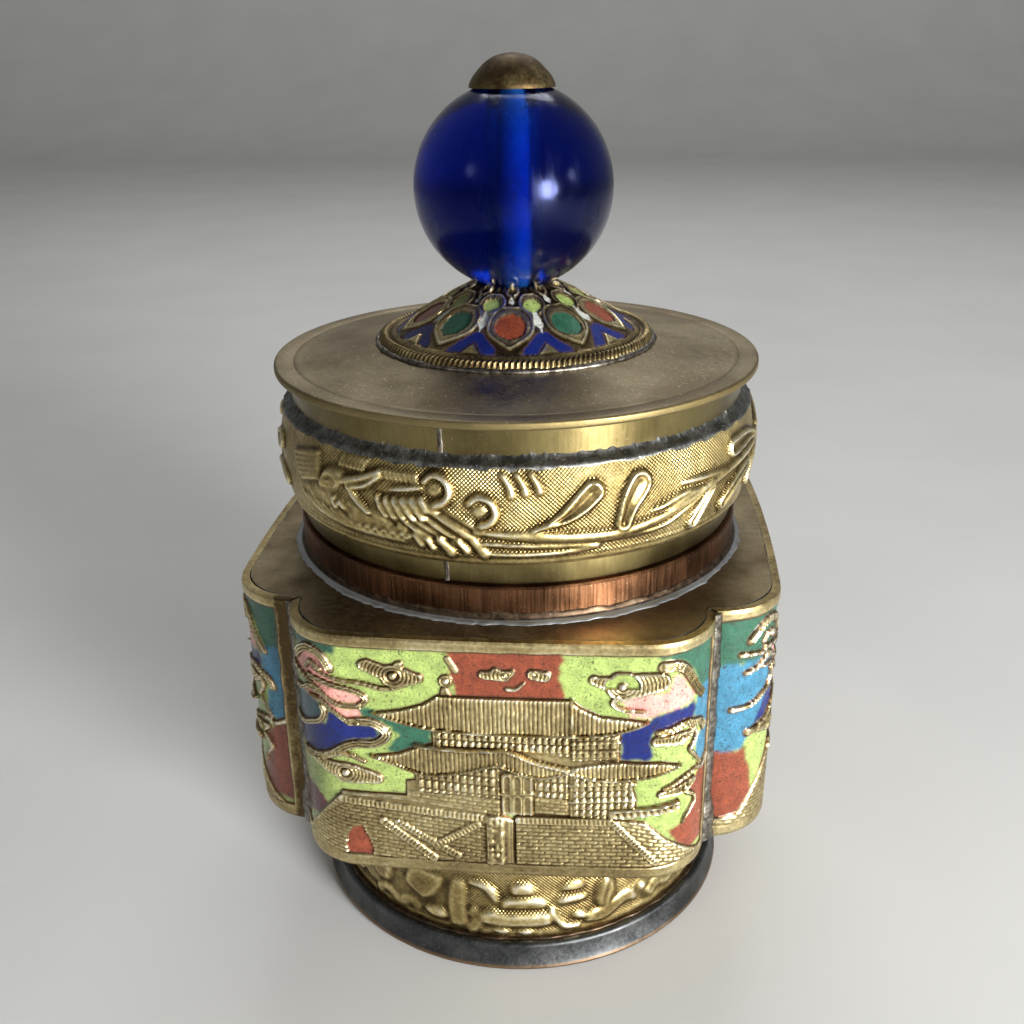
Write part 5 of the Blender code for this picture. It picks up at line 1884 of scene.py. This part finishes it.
    def draw_curl(self, sheet: Canvas, degrees: float, z: float) -> None:
        """Raises a curl of plumage: a thick rim, open to the left, round a hollow.

        Args:
            sheet: the drawing.
            degrees: angle of its middle.
            z: height of its middle.
        """
        rim = [(-2.4, 0.8), (-0.4, 1.75), (2.1, 1.2), (3.1, -0.3), (1.9, -1.5), (0.2, -2)]
        middle = [(-2, 0.2), (0.2, 1), (1.9, 0), (0.3, -1.1), (-1.6, -0.8)]
        rim, middle = ([(degrees + a, z + b) for a, b in part] for part in (rim, middle))
        sheet.plate(self.closed(*middle), 0.3, edge=0.5)
        sheet.line(self.stroke(*rim), 1.25, 1.0, (0.6, 1.0), 0.0)

    def draw_tail(self, sheet: Canvas) -> None:
        """Raises the tail: a broad lined stem with leaves, and hollow, round-headed plumes.

        Args:
            sheet: the drawing.
        """
        main = self.stroke((-9, 72.2), (2, 71.6), (12, 71), (22, 70.9), (32, 72), (41, 73.6), (52, 74.8),
                           (66, 75.4), (80, 75.6), (96, 74.4))
        box, x, y = sheet.near(main, 3.0)
        gap, share = distances(x, y, main)
        half = 1.05 * (1.0 - 0.3 * share) * (0.55 + 0.45 * eased(share / 0.12))
        sheet.lay(box, half - gap, 0.45 + 0.2 * np.abs(np.cos(math.pi * gap / 0.95)) ** 0.6, 0.5)
        sheet.line(self.stroke((-9, 70.6), (0, 70.3), (9, 70), (16.6, 69.6), (10, 69.1), (0, 68.9),
                               (-8, 69.1)),
                   0.7, 0.6, floor=0.0)
        sheet.line(self.stroke((23, 70.2), (32, 70.4), (38, 71.8), (43, 73.2)), 0.6, 0.5, (0.6, 1), 0.0)
        sheet.plate(self.closed((27, 72.6), (30.4, 73.9), (36.4, 75), (42, 74.6), (43.6, 73.6), (36, 72.8)),
                    0.62, 0.35, lambda x, y: np.abs(np.cos(math.pi * (y - 0.28 * x) / 0.8)), 0.6)
        sheet.plate(self.closed((35, 75.4), (38.4, 76.3), (50, 75.9), (56, 75.2), (46, 74.8)), 0.55, edge=0.6)
        # Each plume: root, head, half widths there, and how far it bows to the left
        for plume in (((2.6, 72.4), (15.0, 77.0), 0.4, 1.55, -0.7),
                      ((21.9, 72.3), (25.6, 77.2), 1.25, 1.75, 0.35),
                      ((46.4, 73.4), (41.4, 69.5), 0.85, 1.2, -0.2),
                      ((66.0, 73.6), (52.6, 70.2), 0.9, 1.3, -0.6),
                      ((75.0, 76.0), (56.0, 77.4), 0.6, 1.4, -0.7),
                      ((78.0, 74.6), (70.0, 70.2), 0.8, 1.3, -0.4),
                      ((80.0, 76.4), (92.0, 78.4), 0.6, 1.3, 0.3),
                      ((86.0, 74.2), (96.0, 70.4), 0.6, 1.3, 0.4),
                      ((96.0, 75.2), (108.0, 76.6), 0.6, 1.5, 0.4),
                      ((100.0, 72.4), (111.0, 71.4), 0.5, 1.2, 0.4)):
            self.draw_plume(sheet, *plume)

    def draw_plume(self, sheet: Canvas, root: Point, head: Point, near: float, far: float,
                   bow: float) -> None:
        """Raises a hollow plume with a round head and a thick rim.

        Args:
            sheet: the drawing.
            root: where it grows from, as an angle and a height.
            head: middle of its head.
            near: half width at its root.
            far: half width at its head.
            bow: how far its middle bows to the left.
        """
        root, head = self.at(*root), self.at(*head)
        run = np.subtract(head, root)
        run = run / np.hypot(*run)
        path = curve([root, ((root[0] + head[0]) / 2 - bow * run[1], (root[1] + head[1]) / 2 + bow * run[0]),
                      head])
        box, x, y = sheet.near(path, far + 0.6)
        gap, share = distances(x, y, path)
        half = near + (far - near) * eased(share / 0.9)
        depth = half - gap
        rim = np.exp(-((depth - 0.38) / 0.3) ** 2)
        fold = 0.35 * np.exp(-((depth - 0.62 * half) / 0.25) ** 2)
        sheet.lay(box, depth, 0.12 + 0.72 * np.maximum(rim, fold), 0.35)

    def build(self) -> None:
        """Builds the tube, the sleeve and the disc."""
        low = height_of("lid_wall")
        outside = [(self.tube(up), low + up) for up in (0.0, 0.4, 3.4, 10.0, 16.8, 20.8, self.height)]
        outside[0] = (self.mouth - 0.15, low)
        inside = [(self.tube(self.height) - self.wall, low + self.height), (self.mouth - self.wall, low)]
        finish_piece(turned("lid_tube", outside + inside), self.finishes.spun, "spun_brass", "lid_wall")
        sleeve = relief_slab("embossed_sleeve", self.draw(), self.sleeve_wall, self.bend, True)
        finish_piece(sleeve, self.finishes.embossed, "embossed_brass", self.node)
        disc = turned("overhanging_disc", self.disc_profile(), 256)
        finish_piece(disc, self.finishes.disc, "dark_sheet_brass", "lid_disc")

    def disc_profile(self) -> list[Point]:
        """Profile of the disc, with the circle engraved on its top and its slightly raised middle.

        Returns:
            Its points.
        """
        low, edge = height_of("lid_disc"), 0.4
        high, land = low + self.disc_thickness, self.disc - self.disc_land
        groove = [(self.engraved + 0.2, high), (self.engraved, high - 0.08), (self.engraved - 0.2, high)]
        slope = [(land + (self.disc_middle - land) * s,
                  high + self.disc_rise * float(eased(np.array(s)) * 0.3 + s * 0.7))
                 for s in (0.0, 0.1, 0.25, 0.5, 0.75, 0.9, 1.0)]
        top = [*slope, (self.disc_hole, high + self.disc_rise)]
        return [*rounded((self.disc - edge, low + edge), edge, -90, 0),
                *rounded((self.disc - edge, high - edge), edge, 0, 90), *groove, *top,
                *[(radius, z - self.disc_thickness) for radius, z in reversed(top)]]


@dataclass
class Finial:
    """The finial: an enamelled dome of petals with a rope edge, a glass bead on a rod, and a cap."""

    finishes: Finishes
    rim: float = 19.9
    rim_height: float = 1.2
    rope_inside: float = 18.2
    rope_strands: float = 159.0
    top: float = 5.6
    height: float = 7.8
    swell: float = 0.3
    hole: float = 2.1
    inside: float = 17.2
    petals: int = 10
    petal_turn: float = math.radians(15.8)
    bead: float = 13.9
    bore: float = 2.6
    core: float = 2.35
    rod: float = 1.8
    rod_head: float = 3.2
    rod_head_height: float = 0.8
    cap: float = 5.85
    cap_edge: float = 0.4
    pin_drop: float = 1.8
    seam: float = 0.3
    grid: tuple[int, int] = (637, 66)

    def surface(self, radius: Array) -> Array:
        """Height of the dome's outside above its foot.

        Args:
            radius: distance from the axis.

        Returns:
            The heights: up over the rope edge, then nearly a cone.
        """
        share = (self.rope_inside - radius) / (self.rope_inside - self.top)
        start = 0.7 * self.rim_height
        cone = start + (self.height - start) * share + self.swell * np.sin(math.pi * np.clip(share, 0.0, 1.0))
        middle = (self.rim + self.rope_inside) / 2
        roll = self.rim_height * np.sqrt(np.clip(1.0 - ((radius - middle) / (self.rim - middle)) ** 2, 0.0,
                                                 1.0))
        return np.where(radius > middle, roll, np.maximum(cone, roll * (radius > self.rope_inside - 0.6)))

    def draw(self) -> Canvas:
        """Draws the dome as seen from above.

        Returns:
            The drawing.
        """
        share = np.linspace(0.0, 1.0, self.grid[1])
        radius = self.rim - (self.rim - self.top) * (0.82 * share + 0.18 * share ** 2)
        radius[1] = self.rim - 0.03
        turn, away = np.meshgrid(np.linspace(-math.pi, math.pi, self.grid[0]), radius)
        sheet = Canvas(away * np.sin(turn), -away * np.cos(turn))
        sheet.height[:] = -0.05 + 0.04 * grain(sheet.across, sheet.up, 1.2, 91)
        sheet.colour[:] = linear(DOME_GROUND)[:3]
        self.draw_petals(sheet)
        near = eased((7.0 - away) / 0.8)
        sheet.height += near * (0.35 * np.abs(np.cos(2 * self.petals * turn)) ** 1.5 - 0.1)
        sheet.metal = np.maximum(sheet.metal, near)
        rope = np.abs(np.cos(math.pi * (turn * self.rope_strands / math.tau + (away - 18.6) * 0.9)))
        edge = eased((away - 17.8) / 0.4)
        sheet.height = np.where(away > 17.3, edge * (-0.22 * rope ** 3), sheet.height)
        sheet.metal = np.where(away > 17.2, 1.0, sheet.metal)
        # The enamel fills the dome's cells nearly to their walls
        sheet.height = np.where(sheet.metal < 0.5, 0.5 * FIELD, sheet.height)
        for layer in (sheet.height, sheet.metal, sheet.colour):
            layer[:, -1] = layer[:, 0]
        return sheet

    def fill(self, sheet: Canvas, shape: Path, colour: Enamel, phase: float = 0.0) -> None:
        """Fills one shape between each two petals with enamel, a phase of a petal further round."""
        for k in range(self.petals):
            sheet.enamel(self.turned_out(shape, k + phase), colour, 0.12)

    def draw_petals(self, sheet: Canvas) -> None:
        """Raises the petals' outlines and fills them with enamel, from the rope edge up.

        Args:
            sheet: the drawing.
        """
        self.fill(sheet, [(17.1, -4), (17.1, 4), (16, 3.3), (15, 2), (14, 1), (13.4, 0), (14, -1), (15, -2),
                          (16, -3.3)], Enamel.COBALT)
        tooth = [(17.3, 1.7), (16.6, 1.1), (15.3, 0), (16.6, -1.1), (17.3, -1.7)]
        for k in range(self.petals):
            sheet.plate(self.turned_out(tooth, k), 0.05, edge=0.3)
        leaf = [(-1, 0.45), (-0.55, 0.9), (0.1, 1), (0.55, 0.7), (1, 0.1)]
        leaf += [(a, -b) for a, b in reversed(leaf)]
        rings = ((6.5, 0.9, 0.75, 0.5, (Enamel.CYAN, Enamel.SLATE, Enamel.SLATE)),
                 (9.1, 1.95, 1.75, 0.0, (Enamel.LIME,)),
                 (12.9, 3.3, 3.0, 0.5, (Enamel.RED, Enamel.GREEN)))
        for middle, reach, half, phase, colours in rings:
            for k in range(self.petals):
                shape = [(middle + a * reach, b * half * (1.0 + 0.06 * math.sin(5.0 * k))) for a, b in leaf]
                smooth = curve(self.turned_out([*shape, shape[0]], k + phase), 3)
                sheet.plate(smooth, 0.12, edge=0.5)
                sheet.line(smooth, 0.5, 0.26)
                inner = [(middle - 0.05 * reach + 0.68 * reach * math.cos(a), 0.72 * half * math.sin(a))
                         for a in np.linspace(0.0, math.tau, 9)]
                sheet.enamel(curve(self.turned_out(inner, k + phase), 3), colours[k % len(colours)], 0.1)
        # Pale slots between the petals: painted highlights, laid in as enamel
        self.fill(sheet, [(13.6, 0), (12.4, 0.75), (10.2, 0.3), (10.2, -0.3), (12.4, -0.75)], Enamel.PAINTED_HIGHLIGHT)
        self.fill(sheet, [(8.9, 0), (8.2, 0.5), (7, 0), (8.2, -0.5)], Enamel.PAINTED_HIGHLIGHT, 0.5)

    def turned_out(self, shape: Path, petal: float) -> list[Point]:
        """Places a shape on the dome's plan.

        Args:
            shape: its points, as distances from the axis and to the side.
            petal: how many petals round it lies.

        Returns:
            Its points as seen from above.
        """
        angle = math.tau / self.petals * petal - self.petal_turn
        return [(r * math.sin(angle) + w * math.cos(angle), -r * math.cos(angle) + w * math.sin(angle))
                for r, w in shape]

    def bend(self, across: Array, up: Array, out: Array) -> Places:
        """Raises the drawing onto the dome.

        Args:
            across: x.
            up: y.
            out: height above the outside, or the back.

        Returns:
            x, y and z.
        """
        away = np.hypot(across, up)
        back, outer = out < -0.8, away > (self.rim + self.top) / 2
        foot, seat = height_of("lid_dome"), self.on_bead(self.hole, -1.0)
        # The rope is notched from above and from the side
        reach = away + np.where(away > self.rope_inside, np.minimum(out, 0.0), 0.0)
        reach = np.where(back, np.where(outer, self.inside, self.hole), reach)
        z = np.where(back, np.where(outer, foot, seat), foot + np.maximum(self.surface(away) + out, 0.0))
        return reach * across / away, reach * up / away, z

    def on_bead(self, radius: float, side: float = 1.0) -> float:
        """Height just clear of the bead at a distance from the axis, above its middle, or below it at -1."""
        return self.bead_height() + side * math.sqrt((self.bead + self.seam) ** 2 - radius ** 2)

    def bead_height(self) -> float:
        """Height of the bead's middle: it sits in the cup at the dome's top."""
        return height_of("lid_dome") + self.height + math.sqrt((self.bead + self.seam) ** 2 - self.top ** 2)

    def build(self) -> None:
        """Builds the dome, the bead, the rod and the cap."""
        dome = relief_slab("petal_dome", self.draw(), 1.0, self.bend, True)
        finish_piece(dome, self.finishes.enamelled, "cast_brass_and_enamel", "lid_dome")
        middle = self.bead_height()
        start = math.degrees(math.acos(self.bore / self.bead))
        ball = rounded((0.0, middle), self.bead, -start, start, 64)
        finish_piece(turned("cobalt_bead", ball, 128, 40.0), self.finishes.glass, "cobalt_glass",
                     "glass_bead")
        crown = height_of("finial_cap", 1)
        pin_top = crown - self.pin_drop
        self.build_rod(middle, pin_top)
        seat = self.on_bead(self.cap) + self.cap_edge
        # The cap is nearly a cone low down, with a round crown: shares of its radius and its rise
        crown_line = [(1, 0), (0.92, 0.23), (0.79, 0.46), (0.62, 0.7), (0.44, 0.86), (0.25, 0.95), (0, 1)]
        shell = [(self.cap * a, seat + (crown - seat) * b) for a, b in curve(crown_line, 3)[:-1]]
        socket = self.rod + self.seam
        under = [(r, self.on_bead(r)) for r in (self.cap, 4.0, socket)]
        cap = [(0.0, crown), *reversed(shell), *under, (socket, pin_top + self.seam),
               (0.0, pin_top + self.seam)]
        finish_piece(turned("domed_cap", cap, 96), self.finishes.cap, "spun_brass", "finial_cap")

    def build_rod(self, middle: float, top: float) -> None:
        """Builds the rod with its riveted head, thickened by cement inside the bead.

        Args:
            middle: height of the bead's middle.
            top: height of its upper end.
        """
        low, head, edge = height_of("finial_rod"), self.rod_head, 0.3
        reach = self.bead * math.cos(math.asin(self.bore / self.bead)) - edge
        pin = [(0.0, low), (head - edge, low), (head, low + edge), (head, low + self.rod_head_height),
               (self.rod, low + self.rod_head_height), (self.rod, middle - reach),
               (self.core, middle - reach + edge), (self.core, middle + reach - edge),
               (self.rod, middle + reach), (self.rod, top), (0.0, top)]
        finish_piece(turned("rod", pin, 48), self.finishes.cement, "spun_brass", "finial_rod")


@dataclass
class SolderWork:
    """The soft solder that joins the pieces: fillets, runs down the notches, seams and drips."""

    finishes: Finishes
    plates: BodyPlates
    notch: float = 28.4
    notch_steps: int = 70
    tube_seam: float = math.radians(-11.6)
    tube_seam_steps: int = 24

    def build(self) -> None:
        """Builds it, each piece in the solder that its place has."""
        body_low, body_top = height_of("panel_front"), height_of("shoulder_plate", 1)
        sleeve_top, disc_top = height_of("lid_band", 1), height_of("lid_dome")
        plain, dull, crust = self.finishes.solder, self.finishes.dull_solder, self.finishes.crust
        made = [
            (self.round_collar(body_top), crust),
            (self.over_sleeve(sleeve_top), dull),
            (ring("solder_round_dome", 19.95, disc_top - 0.15, 0.45, 0.4, 75), plain),
            (ring("solder_along_panels", 0.0, body_top - 0.1, 0.12, 0.12, 77, 0.2, self.plates.outline()),
             dull),
            (ring("solder_on_ledge", 31.2, 4.2, 0.5, 0.3, 79), crust),
        ]
        for k in range(4):
            place = self.notch_place(k, body_low, body_top)
            made.append((run(f"solder_in_notch_{k}", self.notch_steps, place), plain))
        for name, radius, low, high in (
                ("seam_below_sleeve", 32.35, height_of("lid_wall"), sleeve_top - 13.3),
                ("seam_over_sleeve", 32.85, sleeve_top - 0.4, height_of("lid_wall", 1))):
            made.append((run(name, self.tube_seam_steps, self.seam_place(radius, low, high)), plain))
        for piece, metal in made:
            finish_piece(piece, metal, "solder_coated_brass")

    def round_collar(self, z: float) -> Piece:
        """The hollow fillet between the collar and the shoulder.

        Args:
            z: height of the shoulder.

        Returns:
            The piece.
        """
        start = 32.85
        profile = [(start, z + 1.3), (33.0, z + 1.22), (33.08, z + 0.7), (33.2, z + 0.42), (33.6, z + 0.26),
                   (34.0, z + 0.08), (34.05, z - 0.05), (start, z - 0.05)]

        def shift(away: Array, angle: Array, height: Array) -> Places:
            """Swells it here and there, and lets it sink where it swells."""
            place = 33.0 * np.cos(angle), 33.0 * np.sin(angle)
            swell = 1.0 + 0.2 * grain(*place, 0.8, 71) + 0.2 * grain(*place, 5.0, 72)
            return start + (away - start) * swell, z + (height - z) * (2.0 - swell) ** 0.6

        return smeared(turned("solder_round_collar", profile, 480, 60.0), shift)

    def over_sleeve(self, z: float) -> Piece:
        """The solder smeared over the sleeve's upper edge, combed up the tube in spikes.

        Args:
            z: height of that edge.

        Returns:
            The piece.
        """
        profile = [(32.79, z + 1.0), (32.95, z + 0.75), (33.3, z + 0.42), (33.9, z + 0.17), (34.13, z - 0.03),
                   (34.27, z - 0.28), (34.29, z - 0.46), (34.0, z - 0.6), (33.1, z - 0.2)]

        def shift(away: Array, angle: Array, height: Array) -> Places:
            """Draws spikes up along its top, and lets its foot wander.

            Args:
                away: distance from the axis.
                angle: angle round it.
                height: height.

            Returns:
                The distance and the height after it.
            """
            place = 33.0 * np.cos(angle), 33.0 * np.sin(angle)
            spike = np.clip(grain(*place, 0.3, 84), 0.0, 1.0) * 0.45 + 0.2 * grain(*place, 2.5, 85)
            top, foot = eased((height - z - 0.4) / 0.4), eased((z + 0.1 - height) / 0.4)
            height = height + spike * top + 0.3 * foot * grain(*place, 1.1, 86)
            return away + 0.05 * grain(angle * 33.0, height * 2.0, 1.4, 87) * (1.0 - top), height

        return smeared(turned("solder_over_sleeve", profile, 960, 60.0), shift)

    def notch_place(self, quarter: int, low: float, high: float) -> Callable:
        """Places of the run down one notch.

        Args:
            quarter: which notch.
            low: its lower end.
            high: its upper end.

        Returns:
            The function that run() takes.
        """
        turn = math.pi / 4 + quarter * math.pi / 2

        def place(share: Array, x: Array, y: Array) -> Places:
            """Bends it into the notch, wider at its foot.

            Args:
                share: share of its length from its foot.
                x: place across it.
                y: place out of it.

            Returns:
                x, y and z.
            """
            z = low + 0.2 + (high - low - 0.4) * share
            blob = eased((7.0 - (z - low)) / 3.0)
            wide = (1.1 + 0.45 * blob) * (1.0 + 0.3 * grain(z, z * 0.0 + 7.0 * quarter, 0.8, 81))
            away = math.sqrt(2.0) * self.notch + 0.3 + 0.25 * blob + (0.42 + 0.3 * blob) * y
            aside = wide * x + 0.15 * grain(z, z * 0.0 + 3.0 * quarter, 2.0, 82)
            side, front = math.cos(turn), math.sin(turn)
            return away * side - aside * front, away * front + aside * side, z
        return place

    def seam_place(self, radius: float, low: float, high: float) -> Callable:
        """Places of the soldered seam of the lid's tube.

        Args:
            radius: radius of the tube.
            low: the seam's lower end.
            high: its upper end.

        Returns:
            The function that run() takes.
        """
        def place(share: Array, x: Array, y: Array) -> Places:
            """Lays it on the tube.

            Args:
                share: share of its length from its foot.
                x: place across it.
                y: place out of it.

            Returns:
                x, y and z.
            """
            z = low + 0.1 + (high - low - 0.2) * share
            angle = self.tube_seam + (0.33 * x + 0.08 * grain(z, z * 0.0, 0.7, 83)) / radius
            away = radius + 0.14 * y
            return away * np.sin(angle), -away * np.cos(angle), z
        return place


@dataclass
class Studio:
    """A pale floor, soft light and the camera. Places are in metres."""

    eye: Place = (0.01427, -0.16062, 0.12822)
    turn: float = 5.409
    tilt_down: float = 22.850
    roll: float = 0.917
    lens: float = 39.43
    sensor: float = 36.0
    aim: float = 0.06
    floor: float = 1.2
    wall: float = 1.4
    fold_steps: int = 8
    fold_step: float = 0.08
    # Each lamp: degrees to the right of the front and over the caddy's middle, distance, size, and watts
    lamps: tuple = (
        ("key", 43.0, 6.0, 0.65, (0.25, 0.2), 9.0),
        ("right", 75.0, 15.0, 0.7, (0.12, 0.12), 0.25),
        ("left", -46.0, 24.0, 0.7, (0.14, 0.14), 0.15),
        ("back", 180.0, 52.0, 0.9, (0.6, 0.4), 2.3),
    )
    sky: str = "#F4F4F2"
    sky_strength: float = 0.19

    def place(self, name: str, data: bpy.types.ID, matrix: Matrix) -> Piece:
        """Puts a lamp or a camera into the scene.

        Args:
            name: its name.
            data: the lamp or the camera itself.
            matrix: its place and direction.

        Returns:
            The object.
        """
        made = bpy.data.objects.new(name, data)
        bpy.context.scene.collection.objects.link(made)
        made.matrix_world = matrix
        return made

    def camera(self) -> None:
        """Sets up the camera."""
        data = bpy.data.cameras.new("camera")
        data.lens, data.sensor_width, data.clip_start = self.lens, self.sensor, 0.01
        turns = ((self.turn, "Z"), (90.0 - self.tilt_down, "X"), (-self.roll, "Z"))
        first, second, third = (Matrix.Rotation(math.radians(degrees), 4, axis) for degrees, axis in turns)
        matrix = Matrix.Translation(self.eye) @ first @ second @ third
        bpy.context.scene.camera = self.place("camera", data, matrix)

    def lamp(self, name: str, turn: float, rise: float, away: float, size: Point, power: float) -> None:
        """Adds a soft lamp that faces the caddy.

        Args:
            name: its name.
            turn: how far round to the right of the front it stands, in degrees.
            rise: how high over the caddy's middle, in degrees.
            away: how far from it.
            size: its width and height.
            power: its power in watts.
        """
        turn, rise = math.radians(turn), math.radians(rise)
        place = Vector((away * math.sin(turn) * math.cos(rise), -away * math.cos(turn) * math.cos(rise),
                        self.aim + away * math.sin(rise)))
        data = bpy.data.lights.new(name, "AREA")
        data.shape, data.size, data.size_y = "ELLIPSE", *size
        data.energy = power
        facing = (Vector((0.0, 0.0, self.aim)) - place).to_track_quat("-Z", "Y")
        self.place(name, data, Matrix.Translation(place) @ facing.to_matrix().to_4x4())

    def backdrop(self) -> Piece:
        """A sheet of paper: flat under the caddy, and curved up far behind it.

        Returns:
            The sheet.
        """
        put_down()
        bpy.ops.mesh.primitive_plane_add(size=2.0 * self.floor, location=(0.0, 0.0, -0.0002))
        sheet = fresh("floor")
        bpy.ops.object.transform_apply(location=True)
        with editing(sheet):
            pick_edges(sheet, lambda edge: all(v.co.y > 0.0 for v in edge.verts))
            for k in range(self.fold_steps):
                angle = math.radians(90.0 * (k + 0.5) / self.fold_steps)
                pull((0.0, self.fold_step * math.cos(angle), self.fold_step * math.sin(angle)))
            pull((0.0, 0.0, self.wall))
        bpy.ops.object.shade_smooth()
        return sheet

    def build(self) -> None:
        """Sets up the paper, the lamps, the sky and the camera."""
        floor = self.backdrop()
        paper = Shading("pale_paper")
        paper.shader.inputs["Roughness"].default_value = 0.8
        shade = paper.ramped(paper.noise(60.0), 0.3, 0.7)
        paper.feed("Base Color", paper.mixed(shade, linear("#DCDCDA"), linear("#E2E2E0")))
        floor.data.materials.append(paper.material)
        for lamp in self.lamps:
            self.lamp(*lamp)
        world = bpy.data.worlds.new("sky")
        world.use_nodes = True
        sky = world.node_tree.nodes["Background"]
        sky.inputs["Color"].default_value = linear(self.sky)
        sky.inputs["Strength"].default_value = self.sky_strength
        bpy.context.scene.world = world
        bpy.context.scene.view_settings.view_transform = "Standard"
        self.camera()


def main() -> None:
    """Builds the caddy piece by piece, then the studio."""
    logging.basicConfig(level=logging.INFO, format="%(message)s")
    finishes = Finishes()
    panels = PanelSet(finishes)
    plates = BodyPlates(finishes, panels)
    for part in (panels, plates, Foot(finishes), Lid(finishes), Finial(finishes),
                 SolderWork(finishes, plates)):
        part.build()
    Studio().build()
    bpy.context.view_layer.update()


if __name__ == "__main__":
    main()
